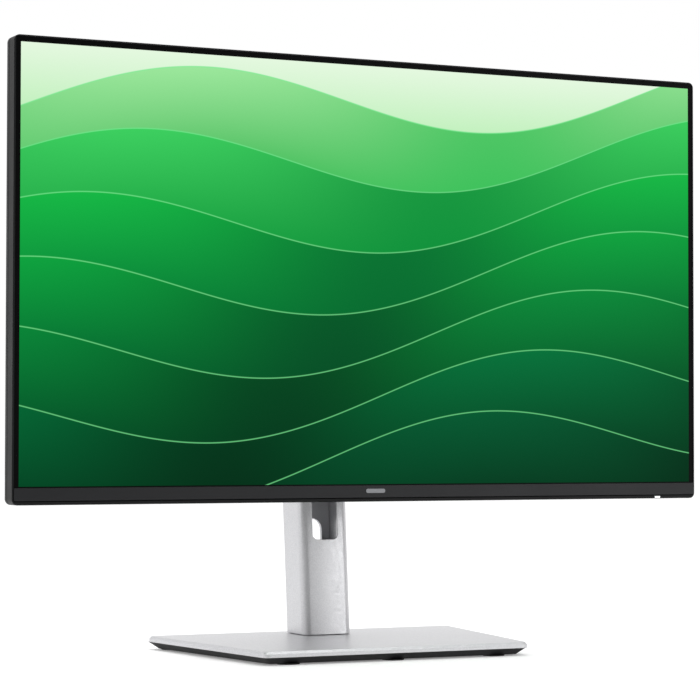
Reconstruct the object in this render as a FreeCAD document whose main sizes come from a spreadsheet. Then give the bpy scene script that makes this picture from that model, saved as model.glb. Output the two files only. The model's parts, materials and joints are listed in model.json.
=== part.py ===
import FreeCAD
import Part

import os
import re

import Sketcher

# A desk monitor on a height, tilt, pivot and swivel stand, in millimetres.
# Frame: +Z is up, the screen faces -Y, and the origin is on the desk under the middle of the whole
# monitor. The column leans back, so its pieces, and the carriage that slides in it, are drawn in a
# leaning frame whose origin is the middle of the tilt hinge.

doc = FreeCAD.newDocument("desk_monitor")

same = 0.01        # two edges closer than this lie at one place
parallel = 0.999   # the cosine that still counts as along an axis
Vector = FreeCAD.Vector
across = Vector(1, 0, 0)
back = Vector(0, 1, 0)
up = Vector(0, 0, 1)

dims = {
    # the display head
    "active_width": 527.04,
    "active_height": 296.46,
    "side_bezel": 5.38,
    "chin_bezel": 13.0,
    "screen_y": -49.8,
    "screen_z": 270.7,
    "rim_width": 1.2,
    "rim_proud": 0.3,
    "lip_height": 2.2,
    "frame_depth": 10.5,
    "frame_ledge": 8.0,
    "ledge_thick": 1.6,
    "head_corner": 4.0,
    "rim_edge": 0.4,
    # the chin strip, its plain badge and the power light
    "chin_gap": 0.6,
    "chin_height": 8.8,
    "chin_proud": 1.0,
    "chin_wall": 0.95,
    "chin_foot": 3.2,
    "chin_foot_thick": 0.7,
    "badge_width": 15.0,
    "badge_height": 3.0,
    "badge_thick": 0.25,
    "badge_corner": 1.4,
    "badge_z": 117.1,
    "window_x": 236.0,
    "window_width": 4.6,
    "window_height": 1.2,
    "window_depth": 3.0,
    # the panel, layer by layer
    "slack": 0.2,
    "hair_gap": 0.1,
    "polariser_thick": 0.2,
    "polariser_margin": 0.6,
    "glass_thick": 1.2,
    "glass_foot": 1.6,
    "film_thick": 0.8,
    "guide_thick": 3.0,
    "reflector_thick": 0.3,
    "stack_width": 529.0,
    "stack_height": 298.0,
    "tray_width": 533.0,
    "tray_height": 307.0,
    "tray_z": 268.3,
    "tray_depth": 5.7,
    "tray_wall": 0.8,
    "led_board_width": 515.0,
    "led_board_depth": 3.4,
    "led_board_thick": 0.9,
    "led_board_z": 118.6,
    "led_width": 6.0,
    "led_height": 1.2,
    "led_pitch": 12.5,
    "driver_width": 240.0,
    "driver_height": 26.0,
    "driver_thick": 1.0,
    "driver_z": 131.0,
    "driver_x": -60.0,
    "chip_pitch": 50.0,
    "chip_size": 15.6,
    # the rear cover
    "cover_y": -38.8,
    "cover_depth": 6.5,
    "cover_wall": 2.2,
    "cover_edge": 3.0,
    "cover_screw_upper_x": 160.0,
    "cover_screw_upper_z": 320.0,
    "cover_screw_lower_x": 62.0,
    "cover_screw_lower_z": 236.0,
    "bulge_width": 410.0,
    "bulge_top_width": 360.0,
    "bulge_bottom": 152.0,
    "bulge_top": 362.0,
    "bulge_flat_top": 336.0,
    "bulge_corner": 3.0,
    "vent_width": 2.4,
    "vent_height": 24.0,
    "vent_pitch": 6.0,
    "vent_x": 75.0,
    "vent_run": 96.0,
    "upper_vent_z": 305.0,
    "lower_vent_z": 172.0,
    "lock_x": -183.0,
    "lock_z": 130.0,
    "lock_width": 3.2,
    "lock_height": 7.2,
    # the chassis with its wall-mount bosses
    "chassis_y": -41.6,
    "chassis_width": 344.0,
    "chassis_bottom": 156.0,
    "chassis_height": 176.0,
    "chassis_thick": 0.8,
    "mount_pitch": 100.0,
    "boss_radius": 5.0,
    "boss_bore": 2.0,
    "boss_bore_depth": 12.0,
    "running_gap": 0.1,
    "post_radius": 4.0,
    "standoff_radius": 2.5,
    "standoff_height": 6.0,
    # the boards
    "board_thick": 1.6,
    "main_x": 44.0,
    "main_width": 212.0,
    "main_z": 185.0,
    "main_height": 54.0,
    "power_x": -119.0,
    "power_width": 98.0,
    "power_z": 212.0,
    "power_height": 104.0,
    "board_edge": 5.0,
    "sink_width": 30.0,
    "sink_height": 26.0,
    "sink_foot": 2.0,
    "fin_height": 9.0,
    "fin_thick": 1.2,
    "fin_pitch": 4.8,
    "sink_x": 30.0,
    "transformer_x": -126.0,
    "transformer_z": 206.0,
    "transformer_width": 26.0,
    "transformer_depth": 18.0,
    "transformer_height": 24.0,
    "choke_x": -160.0,
    "choke_z": 196.0,
    "choke_width": 14.0,
    "choke_depth": 16.0,
    "choke_height": 20.0,
    "filter_x": -96.0,
    "filter_z": 232.0,
    "filter_width": 14.0,
    "filter_depth": 12.0,
    "filter_height": 18.0,
    "capacitor_x": -142.0,
    "capacitor_upper_z": 240.0,
    "capacitor_lower_z": 218.0,
    "small_capacitor_x": -104.0,
    "small_capacitor_z": 192.0,
    "capacitor_radius": 6.3,
    "capacitor_height": 20.0,
    "ribbon_x": -30.0,
    "ribbon_width": 22.0,
    "ribbon_thick": 0.8,
    "ribbon_low": 206.0,
    "ribbon_fold": 218.0,
    "ribbon_rise": 26.0,
    "led_lead_x": 92.0,
    "led_lead_width": 8.0,
    "led_lead_height": 40.0,
    "board_lead_x": -69.0,
    "board_lead_z": 178.0,
    "board_lead_width": 14.0,
    "board_lead_thick": 1.2,
    "board_lead_height": 10.0,
    # the sockets along the bottom of the bulge
    "socket_z": 152.3,
    "socket_wall": 0.5,
    "socket_tongue": 0.45,
    "tongue_share": 0.7,
    "tongue_inset": 1.5,
    "digital_x": -44.0,
    "digital_width": 15.0,
    "digital_across": 5.6,
    "digital_height": 12.0,
    "port_x": -18.0,
    "port_width": 16.4,
    "port_height": 13.0,
    "analog_x": 16.0,
    "analog_width": 30.0,
    "analog_across": 10.0,
    "analog_height": 11.0,
    "analog_ear": 6.5,
    "analog_lip": 1.2,
    "upstream_x": 54.0,
    "upstream_width": 12.0,
    "upstream_across": 11.0,
    "upstream_height": 16.0,
    "downstream_x": 80.0,
    "downstream_pitch": 24.0,
    "downstream_width": 13.2,
    "downstream_across": 14.0,
    "downstream_height": 18.0,
    "inlet_x": -119.0,
    "inlet_width": 28.0,
    "inlet_across": 20.0,
    "inlet_height": 24.0,
    "inlet_wall": 1.8,
    "inlet_cavity": 17.0,
    "inlet_y": -18.6,
    "blade_across": 4.0,
    "blade_thick": 2.0,
    "blade_length": 12.0,
    "blade_pitch": 7.0,
    "blade_offset": 2.0,
    # controls
    "control_x": 222.0,
    "control_width": 52.0,
    "control_z": 131.5,
    "control_height": 26.0,
    "switch_width": 6.0,
    "switch_height": 4.0,
    "switch_gap": 1.4,
    "control_y": -42.1,
    "control_thick": 1.0,
    "stick_x": 215.0,
    "stick_z": 130.0,
    "stick_hole": 5.0,
    "stick_pivot_y": -37.2,
    "plunger_radius": 5.2,
    "plunger_wall": 0.8,
    "plunger_depth": 3.6,
    "gimbal_radius": 4.0,
    "gimbal_hole": 2.6,
    "gimbal_thick": 1.0,
    "stem_ball": 2.2,
    "stem_radius": 1.4,
    "cap_radius": 5.4,
    "cap_thick": 3.4,
    "cap_y": -30.7,
    "cap_edge": 1.0,
    "power_button_x": 236.0,
    "power_button_width": 14.0,
    "power_button_across": 3.0,
    "power_button_y": -36.3,
    "power_button_thick": 3.6,
    "power_flange": 1.5,
    "power_flange_thick": 0.9,
    "power_button_proud": 0.2,
    "button_gap": 0.4,
    # the quick-release plate, its latch and the pivot
    "plate_size": 84.0,
    "plate_thick": 3.5,
    "plate_corner": 8.0,
    "notch_width": 9.0,
    "notch_height": 2.6,
    "latch_width": 16.0,
    "latch_thick": 3.0,
    "latch_height": 16.0,
    "tongue_width": 8.0,
    "tongue_height": 2.4,
    "tongue_reach": 2.0,
    "latch_travel": 2.8,
    "release_width": 18.0,
    "release_height": 9.0,
    "release_z": 206.0,
    "release_flange": 2.0,
    "release_flange_thick": 1.2,
    "release_proud": 0.8,
    "release_thick": 4.8,
    "hub_radius": 22.0,
    "hub_thick": 4.0,
    "pivot_radius": 11.0,
    "pivot_fit": 0.05,
    "pivot_reach": 11.3,
    "retainer_radius": 16.0,
    "retainer_thick": 1.8,
    "retainer_y": 12.4,
    # the tilt hinge
    "tilt_y": 26.0,
    "yoke_y": 8.0,
    "yoke_thick": 4.0,
    "yoke_size": 58.0,
    "ear_x": 20.0,
    "ear_thick": 5.0,
    "ear_radius": 10.0,
    "tilt_shaft_radius": 4.0,
    "tilt_shaft_length": 54.0,
    "washer_radius": 7.6,
    "washer_thick": 1.1,
    "washer_pitch": 1.25,
    "washer_x": 9.9,
    "washer_count": 8,
    "cover_size": 66.0,
    "shroud_y": 5.4,
    "shroud_depth": 27.0,
    "shroud_edge": 1.2,
    "shroud_wall": 1.8,
    "shroud_corner": 9.0,
    # the column, in the leaning frame
    "column_lean": 5.0,
    "column_reach": 39.5,
    "column_width": 39.0,
    "column_depth": 32.2,
    "column_crown": 0.8,
    "column_front_corner": 6.0,
    "column_rear_corner": 1.4,
    "column_wall": 2.2,
    "column_inner_corner": 4.0,
    "column_drop": 266.0,
    "column_rise": 93.4,
    "column_cap": 3.7,
    "tongue_drop": 16.0,
    "slot_width": 20.0,
    "slot_drop": 189.8,
    "slot_corner": 4.0,
    "rear_plate_width": 34.0,
    "rear_plate_thick": 3.0,
    "rear_plate_inset": 0.3,
    "rear_screw_x": 12.5,
    "rear_screw_drop": 233.0,
    "rear_screw_rise": 84.0,
    "cable_hole_width": 21.0,
    "cable_hole_height": 32.0,
    "cable_hole_drop": 188.6,
    "cable_hole_corner": 8.0,
    "rail_drop": 160.0,
    "rail_rise": 92.0,
    "rail_thick": 1.0,
    "rail_x": 17.1,
    "rail_half": 8.0,
    "rail_lip": 2.7,
    # the carriage and its springs
    "arm_width": 18.6,
    "arm_height": 18.0,
    "knuckle_radius": 9.0,
    "saddle_width": 27.0,
    "saddle_drop": 18.0,
    "saddle_rise": 20.0,
    "saddle_thick": 3.0,
    "saddle_gap": 0.4,
    "cheek_x": 11.8,
    "cheek_thick": 2.2,
    "cheek_depth": 18.0,
    "cheek_drop": 28.0,
    "cheek_rise": 8.0,
    "glide_thick": 1.8,
    "glide_across": 13.4,
    "glide_height": 9.0,
    "glide_low": 22.0,
    "glide_high": 2.0,
    "coil_radius": 9.5,
    "coil_bore": 2.6,
    "coil_width": 10.4,
    "coil_gap": 0.8,
    "coil_y": 40.0,
    "coil_drop": 17.0,
    "coil_hub": 4.0,
    "coil_flange": 0.8,
    "strip_clearance": 0.05,
    "strip_end": 10.0,
    "axle_radius": 2.5,
    "strip_thick": 0.3,
    "strip_width": 8.6,
    # the swivel and the base
    "swivel_y": 42.8,
    "base_front": 205.0,
    "base_rear": 249.5,
    "base_depth": 165.2,
    "base_front_y": -89.8,
    "base_top": 9.6,
    "plate_height": 4.1,
    "base_corner": 5.0,
    "base_bevel": 1.7,
    "tray_inset": 6.2,
    "tray_taper": 50.0,
    "undertray_wall": 2.4,
    "undertray_floor": 0.8,
    "ballast_gap": 0.6,
    "base_boss": 5.0,
    "base_skin": 1.2,
    "base_screw_length": 5.2,
    "base_screw_front_x": 60.0,
    "base_screw_front_y": 72.0,
    "base_screw_rear_x": 75.0,
    "base_screw_rear_y": 58.0,
    "foot_front_x": 80.0,
    "foot_front_y": 78.0,
    "foot_rear_x": 108.0,
    "foot_rear_y": 66.0,
    "swivel_opening": 26.0,
    "foot_gap": 0.4,
    "foot_block_width": 30.0,
    "foot_block_depth": 25.0,
    "foot_block_rise": 34.0,
    "spindle_radius": 12.0,
    "spindle_fit": 0.05,
    "bushing_wall": 3.0,
    "disc_radius": 21.0,
    "disc_thick": 2.0,
    "disc_gap": 0.3,
    "stand_screw_radius": 4.0,
    "stand_screw_head": 8.0,
    "stand_screw_head_thick": 1.2,
    "stand_screw_length": 26.0,
    "rubber_radius": 8.0,
    "rubber_thick": 0.8,
    # screws
    "screw_radius": 1.35,
    "screw_head": 2.8,
    "screw_head_thick": 1.5,
    "screw_length": 8.0,
    "screw_socket": 1.2,
    "screw_socket_depth": 0.9,
}

sheet = doc.addObject("Spreadsheet::Sheet", "dims")
for row, (alias, size) in enumerate(dims.items(), 1):
    sheet.set(f"A{row}", alias)
    sheet.set(f"B{row}", str(size))
    sheet.setAlias(f"B{row}", alias)
doc.recompute()

# sizes that several pieces share, as formulas of the sheet's cells
head_width = "(active_width + 2 * side_bezel)"
head_top = "(screen_z + active_height / 2 + side_bezel)"
head_bottom = "(screen_z - active_height / 2 - chin_bezel)"
head_height = "(active_height + side_bezel + chin_bezel)"
head_middle = f"(({head_top} + {head_bottom}) / 2)"
frame_front = "(screen_y - rim_proud)"
glass_y = "(screen_y + polariser_thick)"
film_y = f"({glass_y} + glass_thick + slack)"
guide_y = f"({film_y} + film_thick)"
reflector_y = f"({guide_y} + guide_thick + slack)"
cover_back = "(cover_y + cover_depth)"
board_y = "(chassis_y + chassis_thick + standoff_height)"
board_back = f"({board_y} + board_thick)"
plate_y = "(column_reach + column_depth / 2 - rear_plate_thick - rear_plate_inset)"
column_front = "(column_reach - column_depth / 2)"
undertray_top = "(base_top - plate_height)"
disc_top = f"({undertray_top} - disc_gap)"
base_middle = "(base_front_y + base_depth / 2)"


def bound(text):
    """A formula with each word that is a cell of the sheet turned into a reference to it."""
    return re.sub(r"[a-z][a-z_]*", lambda word: f"dims.{word[0]}" if word[0] in dims else word[0],
                  str(text))


# ---- building helpers ----

origin_planes = {"XY": ("XY_Plane", (0, 1, 2)), "XZ": ("XZ_Plane", (0, 2, 1)),
                 "YZ": ("YZ_Plane", (1, 2, 0))}


def new_body(label):
    body = doc.addObject("PartDesign::Body", label)
    body.Label = label
    return body


def new_sketch(body, plane, at):
    """A sketch parallel to an origin plane of its body, with its own origin at the point given."""
    role, order = origin_planes[plane]
    sketch = body.newObject("Sketcher::SketchObject", f"{body.Name}_sketch")
    support = next(item for item in body.Origin.OriginFeatures if item.Role == role)
    sketch.AttachmentSupport = [(support, "")]
    sketch.MapMode = "FlatFace"
    offsets = [bound(at[place]) for place in order]
    if plane == "XZ":
        offsets[2] = f"-({offsets[2]})"
    for letter, offset in zip("xyz", offsets):
        sketch.setExpression(f"AttachmentOffset.Base.{letter}", offset)
    return sketch


def draw_rectangle(sketch, width, height):
    corners = [Vector(-1, -1), Vector(1, -1), Vector(1, 1), Vector(-1, 1)]
    for side in range(4):
        sketch.addGeometry(Part.LineSegment(corners[side], corners[(side + 1) % 4]))
    for side in range(4):
        sketch.addConstraint(Sketcher.Constraint("Coincident", side, 2, (side + 1) % 4, 1))
        direction = "Vertical" if side % 2 else "Horizontal"
        sketch.addConstraint(Sketcher.Constraint(direction, side))
    sketch.addConstraint(Sketcher.Constraint("Symmetric", 0, 1, 1, 2, -1, 1))
    bind(sketch, Sketcher.Constraint("DistanceX", 0, 1, 0, 2, 2.0), "width", width)
    bind(sketch, Sketcher.Constraint("DistanceY", 1, 1, 1, 2, 2.0), "height", height)


def draw_circle(sketch, radius):
    sketch.addGeometry(Part.Circle(Vector(), up, 1))
    sketch.addConstraint(Sketcher.Constraint("Coincident", 0, 3, -1, 1))
    bind(sketch, Sketcher.Constraint("Radius", 0, 1.0), "radius", radius)


def bind(sketch, constraint, name, formula):
    index = sketch.addConstraint(constraint)
    sketch.renameConstraint(index, name)
    sketch.setExpression(f"Constraints.{name}", bound(formula))


def extrude(kind, body, plane, at, size, length):
    """A pad or pocket from the point given, towards +X, +Y or +Z. A size is a pair for a rectangle
    or one formula for a circle's radius."""
    sketch = new_sketch(body, plane, at)
    if isinstance(size, tuple):
        draw_rectangle(sketch, *size)
    else:
        draw_circle(sketch, size)
    feature = body.newObject(f"PartDesign::{kind}", f"{body.Name}_{kind.lower()}")
    feature.Profile = sketch
    feature.Reversed = (plane == "XZ") == (kind == "Pad")
    feature.setExpression("Length", bound(length))
    body.Tip = feature
    return feature


def pad(body, plane, at, size, length):
    return extrude("Pad", body, plane, at, size, length)


def pocket(body, plane, at, size, length):
    """A pocket, checked to take something away."""
    doc.recompute()
    before = body.Shape.Volume
    feature = extrude("Pocket", body, plane, at, size, length)
    doc.recompute()
    assert body.Shape.Volume < before, f"a pocket of {body.Label} cuts nothing"
    return feature


def padded(label, plane, at, size, length):
    """A body that starts with one pad."""
    body = new_body(label)
    pad(body, plane, at, size, length)
    return body


def dress(kind, body, size, chosen):
    """A fillet or chamfer on the edges of the body's last feature that the test picks."""
    doc.recompute()
    last = body.Tip
    names = [f"Edge{n}" for n, edge in enumerate(last.Shape.Edges, 1) if chosen(edge)]
    assert names, f"no edge of {body.Label} matches"
    feature = body.newObject(f"PartDesign::{kind}", f"{body.Name}_{kind.lower()}")
    feature.Base = (last, names)
    feature.setExpression("Size" if kind == "Chamfer" else "Radius", bound(size))
    body.Tip = feature


def along(direction, chosen=lambda middle: True):
    """A test that picks the straight edges along a direction whose middle passes another test."""
    def test(edge):
        if edge.Curve.TypeId != "Part::GeomLine":
            return False
        return abs(edge.Curve.Direction.dot(direction)) > parallel and chosen(edge.CenterOfMass)
    return test


def at_level(place, level):
    """A test that picks the edges that lie flat at one level of x, y or z, numbered 0 to 2."""
    def test(edge):
        box = edge.BoundBox
        low, high = ((box.XMin, box.XMax), (box.YMin, box.YMax), (box.ZMin, box.ZMax))[place]
        return abs(low - level) < same and abs(high - level) < same
    return test


def set_place(piece, at):
    for letter, formula in zip("xyz", at):
        piece.setExpression(f"Placement.Base.{letter}", bound(formula))


def lean_back(piece):
    """Puts a piece drawn in the column's frame into place."""
    piece.Placement = FreeCAD.Placement(Vector(), FreeCAD.Rotation(-across, 1))
    set_place(piece, ("0", "tilt_y", "screen_z"))
    piece.setExpression("Placement.Rotation.Angle", bound("column_lean"))
    return piece


def block(low, size):
    box = doc.addObject("Part::Box", "block")
    for name, formula in zip(("Length", "Width", "Height"), size):
        box.setExpression(name, bound(formula))
    set_place(box, low)
    return box


def rod(base, radius, length, direction):
    cylinder = doc.addObject("Part::Cylinder", "rod")
    cylinder.setExpression("Radius", bound(radius))
    cylinder.setExpression("Height", bound(length))
    cylinder.Placement = FreeCAD.Placement(Vector(), FreeCAD.Rotation(up, direction))
    set_place(cylinder, base)
    return cylinder


def fused(label, pieces):
    whole = doc.addObject("Part::MultiFuse", label)
    whole.Label = label
    whole.Shapes = pieces
    return whole


def cut(label, base, tools):
    """A piece with one or more tools taken out of it."""
    if len(tools) > 1:
        tool = fused(f"{label}_tools", tools)
    else:
        tool = tools[0]
    whole = doc.addObject("Part::Cut", label)
    whole.Base = base
    whole.Tool = tool
    base.Label = f"{label}_blank"
    whole.Label = label
    return whole


def group(label, pieces):
    """Separate solids of one kind that share a node."""
    whole = doc.addObject("Part::Compound", label)
    whole.Label = label
    whole.Links = pieces
    return whole


def screw(head_end, direction, length="screw_length"):
    """A pan-head screw with a round drive socket, pointing along direction from its head's outer face."""
    head = rod(head_end, "screw_head", "screw_head_thick", direction)
    shank = rod(head_end, "screw_radius", f"screw_head_thick + {length}", direction)
    socket = rod(head_end, "screw_socket", "screw_socket_depth", direction)
    return cut("screw", fused("screw_blank", [head, shank]), [socket])


def quarters(x, y):
    """The four corners of a rectangle centred on nothing, as pairs of formulas."""
    return [(f"({sx}1 * {x})", f"({sy}1 * {y})") for sx in ("", "-") for sy in ("", "-")]


nodes = []


def keep(*pieces):
    nodes.extend(pieces)


# ---- the base ----

def trapezoid(body, at, inset, length, kind="Pad", taper=None):
    """The base's outline, wider at the back, drawn in from its edge by an inset."""
    sketch = new_sketch(body, "XY", at)
    points = [Vector(-10, -10), Vector(10, -10), Vector(12, 10), Vector(-12, 10)]
    for side in range(4):
        sketch.addGeometry(Part.LineSegment(points[side], points[(side + 1) % 4]))
    for side in range(4):
        sketch.addConstraint(Sketcher.Constraint("Coincident", side, 2, (side + 1) % 4, 1))
    sketch.addConstraint(Sketcher.Constraint("Symmetric", 0, 1, 0, 2, -2))
    sketch.addConstraint(Sketcher.Constraint("Symmetric", 2, 1, 2, 2, -2))
    bind(sketch, Sketcher.Constraint("DistanceX", 0, 1, 0, 2, 20.0), "front", f"base_front - 2 * ({inset})")
    bind(sketch, Sketcher.Constraint("DistanceX", 2, 2, 2, 1, 24.0), "rear", f"base_rear - 2 * ({inset})")
    bind(sketch, Sketcher.Constraint("DistanceY", 0, 1, 2, 2, 20.0), "depth", f"base_depth - 2 * ({inset})")
    half_depth = f"base_depth / 2 - ({inset})"
    bind(sketch, Sketcher.Constraint("DistanceY", 0, 1, -1, 1, 10.0), "front_half", half_depth)
    feature = body.newObject(f"PartDesign::{kind}", f"{body.Name}_{kind.lower()}")
    feature.Profile = sketch
    feature.Reversed = kind == "Pocket"
    feature.setExpression("Length", bound(length))
    if taper:
        feature.setExpression("TaperAngle", bound(taper))
    body.Tip = feature
    return feature


base_screw_places = [("-base_screw_front_x", "-base_screw_front_y"),
                     ("base_screw_front_x", "-base_screw_front_y"),
                     ("-base_screw_rear_x", "base_screw_rear_y"),
                     ("base_screw_rear_x", "base_screw_rear_y")]


def make_base():
    middle = ("0", base_middle)
    swivel = ("0", "swivel_y")

    plate = new_body("base_top_plate")
    trapezoid(plate, (*middle, undertray_top), "0", "plate_height")
    dress("Fillet", plate, "base_corner",
          lambda edge: abs(edge.BoundBox.ZLength - dims["plate_height"]) < same)
    dress("Chamfer", plate, "base_bevel", at_level(2, dims["base_top"]))
    bore = "spindle_radius + spindle_fit + bushing_wall"
    pocket(plate, "XY", (*swivel, undertray_top), bore, "plate_height")

    tray = new_body("base_undertray")
    tray_height = dims["base_top"] - dims["plate_height"] - dims["rubber_thick"]
    trapezoid(tray, (*middle, "rubber_thick"), "tray_inset", f"{undertray_top} - rubber_thick",
              taper="tray_taper")
    dress("Fillet", tray, "base_corner", lambda edge: abs(edge.BoundBox.ZLength - tray_height) < same)
    tray_floor = "(rubber_thick + undertray_floor)"
    trapezoid(tray, (*middle, tray_floor), "tray_inset + undertray_wall",
              f"{undertray_top} - {tray_floor}", kind="Pocket")
    for x, y in base_screw_places:
        pad(tray, "XY", (x, y, "rubber_thick"), "base_boss", f"{undertray_top} - rubber_thick")
        pocket(tray, "XY", (x, y, "rubber_thick"), "screw_head + running_gap",
               "screw_head_thick + 2 * slack")
        pocket(tray, "XY", (x, y, "rubber_thick"), "screw_radius + running_gap",
               f"{undertray_top} - rubber_thick")
    pocket(tray, "XY", (*swivel, "rubber_thick"), "swivel_opening", "undertray_floor")

    ballast = new_body("base_weight_plate")
    trapezoid(ballast, (*middle, tray_floor), "tray_inset + undertray_wall + ballast_gap",
              f"{undertray_top} - {tray_floor}")
    pocket(ballast, "XY", (*swivel, tray_floor), "swivel_opening", f"{undertray_top} - {tray_floor}")

    for x, y in base_screw_places:
        pocket(ballast, "XY", (x, y, tray_floor), "base_boss + ballast_gap",
               f"{undertray_top} - {tray_floor}")
        pocket(plate, "XY", (x, y, undertray_top), "screw_radius", "plate_height - base_skin")
    screws = [screw((x, y, "rubber_thick + slack"), up, "base_screw_length") for x, y in base_screw_places]
    front_feet = [(x, "-foot_front_y") for x in ("-foot_front_x", "0", "foot_front_x")]
    rear_feet = [(x, "foot_rear_y") for x in ("-foot_rear_x", "0", "foot_rear_x")]
    feet = [rod((x, y, "0"), "rubber_radius", "rubber_thick", up) for x, y in front_feet + rear_feet]

    bushing = padded("swivel_bushing", "XY", (*swivel, undertray_top), bore, "plate_height")
    pocket(bushing, "XY", (*swivel, undertray_top), "spindle_radius + spindle_fit", "plate_height")
    keep(plate, tray, ballast, group("base_screws", screws), group("base_feet", feet), bushing)


# ---- the swivelling column ----

def make_spindle():
    swivel = ("0", "swivel_y")
    foot_level = "(base_top + foot_gap)"
    spindle = padded("swivel_spindle", "XY", (*swivel, disc_top), "spindle_radius",
                     f"{foot_level} - {disc_top}")
    pocket(spindle, "XY", (*swivel, disc_top), "stand_screw_radius + spindle_fit",
           f"{foot_level} - {disc_top}")
    disc = padded("swivel_retainer", "XY", (*swivel, f"{disc_top} - disc_thick"), "disc_radius",
                  "disc_thick")
    pocket(disc, "XY", (*swivel, f"{disc_top} - disc_thick"), "stand_screw_radius + spindle_fit",
           "disc_thick")
    head_level = f"({disc_top} - disc_thick - stand_screw_head_thick)"
    bolt = padded("stand_screw", "XY", (*swivel, head_level), "stand_screw_head", "stand_screw_head_thick")
    pad(bolt, "XY", (*swivel, f"{head_level} + stand_screw_head_thick"), "stand_screw_radius",
        "stand_screw_length")
    pocket(bolt, "XY", (*swivel, head_level), ("3 * stand_screw_head / 2", "screw_socket"),
           "screw_socket_depth")
    keep(spindle, disc, bolt)


def make_column():
    foot_level = "(base_top + foot_gap)"
    trim_size = ("base_rear", "base_depth", "base_depth")
    trims = [block(("-base_rear / 2", "swivel_y - base_depth / 2", f"{foot_level} - base_depth"), trim_size)
             for _ in range(3)]
    height = "column_drop + column_rise"

    channel = new_body("column_channel")
    sketch = new_sketch(channel, "XY", ("0", "column_reach", "-column_drop"))
    half = dims["column_width"] / 2
    depth = dims["column_depth"] / 2
    shoulder = depth - dims["column_crown"]
    sketch.addGeometry(Part.LineSegment(Vector(half, depth), Vector(-half, depth)))
    sketch.addGeometry(Part.LineSegment(Vector(-half, depth), Vector(-half, -shoulder)))
    sketch.addGeometry(Part.Arc(Vector(-half, -shoulder), Vector(0, -depth), Vector(half, -shoulder)))
    sketch.addGeometry(Part.LineSegment(Vector(half, -shoulder), Vector(half, depth)))
    sketch.addConstraint(Sketcher.Constraint("Coincident", 0, 2, 1, 1))
    sketch.addConstraint(Sketcher.Constraint("Coincident", 1, 2, 2, 1))
    sketch.addConstraint(Sketcher.Constraint("Coincident", 2, 2, 3, 1))
    sketch.addConstraint(Sketcher.Constraint("Coincident", 3, 2, 0, 1))
    sketch.addConstraint(Sketcher.Constraint("Vertical", 1))
    sketch.addConstraint(Sketcher.Constraint("Symmetric", 0, 1, 0, 2, -2))
    sketch.addConstraint(Sketcher.Constraint("Symmetric", 2, 1, 2, 2, -2))
    bind(sketch, Sketcher.Constraint("DistanceX", 0, 2, 0, 1, 2 * half), "width", "column_width")
    bind(sketch, Sketcher.Constraint("DistanceY", -1, 1, 0, 1, depth), "rear", "column_depth / 2")
    bind(sketch, Sketcher.Constraint("DistanceY", 2, 1, -1, 1, shoulder), "front",
         "column_depth / 2 - column_crown")
    crown_radius = "(column_width ^ 2 / 4 + column_crown ^ 2) / (2 * column_crown)"
    bind(sketch,
         Sketcher.Constraint("Radius", 2, (half**2 + (depth - shoulder)**2) / (2 * (depth - shoulder))),
         "crown", crown_radius)
    shell = channel.newObject("PartDesign::Pad", "column_channel_pad")
    shell.Profile = sketch
    shell.setExpression("Length", bound(height))
    channel.Tip = shell
    reach = dims["column_reach"]
    dress("Fillet", channel, "column_front_corner", along(up, lambda middle: middle.y < reach))
    dress("Fillet", channel, "column_rear_corner", along(up, lambda middle: middle.y > reach + depth - 1))
    inner_depth = "(column_depth - column_wall + 1)"
    hollow_y = f"{column_front} + column_wall + {inner_depth} / 2"
    pocket(channel, "XY", ("0", hollow_y, "-column_drop"), ("column_width - 2 * column_wall", inner_depth),
           height)
    inner = (dims["column_width"] / 2 - dims["column_wall"], reach)
    dress("Fillet", channel, "column_inner_corner",
          along(up, lambda middle: abs(abs(middle.x) - inner[0]) < same and middle.y < inner[1]))
    slot_height = "(slot_drop + column_rise)"
    slot_at = ("0", f"{column_front} - 1", f"{slot_height} / 2 - slot_drop")
    pocket(channel, "XZ", slot_at, ("slot_width", slot_height), "column_depth / 2")
    slot_bottom = -dims["slot_drop"]
    dress("Fillet", channel, "slot_corner",
          lambda edge: abs(edge.CenterOfMass.z - slot_bottom) < same and edge.BoundBox.XLength < same)

    plate = padded("column_rear_cover", "XY", ("0", f"{plate_y} + rear_plate_thick / 2", "-column_drop"),
                   ("rear_plate_width", "rear_plate_thick"), height)
    hole_at = ("0", plate_y, "-cable_hole_drop")
    pocket(plate, "XZ", hole_at, ("cable_hole_width", "cable_hole_height"), "rear_plate_thick")
    hole_half = dims["cable_hole_width"] / 2
    dress("Fillet", plate, "cable_hole_corner",
          along(back, lambda middle: abs(abs(middle.x) - hole_half) < same))
    screw_places = [(x, z) for x in ("-rear_screw_x", "rear_screw_x")
                    for z in ("-rear_screw_drop", "rear_screw_rise")]
    head_y = f"({plate_y} + rear_plate_thick - slack)"
    holes = [rod((x, f"{plate_y} - 1", z), "screw_radius + running_gap", "rear_plate_thick + 2", back)
             for x, z in screw_places]
    sinks = [rod((x, f"{head_y} - screw_head_thick", z), "screw_head + running_gap", "rear_plate_thick",
                 back)
             for x, z in screw_places]
    screws = [screw((x, head_y, z), -back) for x, z in screw_places]
    drilled = cut("column_rear_plate", plate, holes + sinks)

    foot_depth = ("foot_block_width", "foot_block_depth")
    foot_at = ("0", "column_reach", "-column_drop")
    foot = padded("column_foot_block", "XY", foot_at, foot_depth,
                  "column_drop - slot_drop - foot_block_rise")
    foot_holes = [rod((x, "column_reach", z), "screw_radius", "foot_block_depth", back)
                  for x, z in screw_places if "drop" in z]
    drilled_foot = cut("column_foot", foot, foot_holes)

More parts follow.
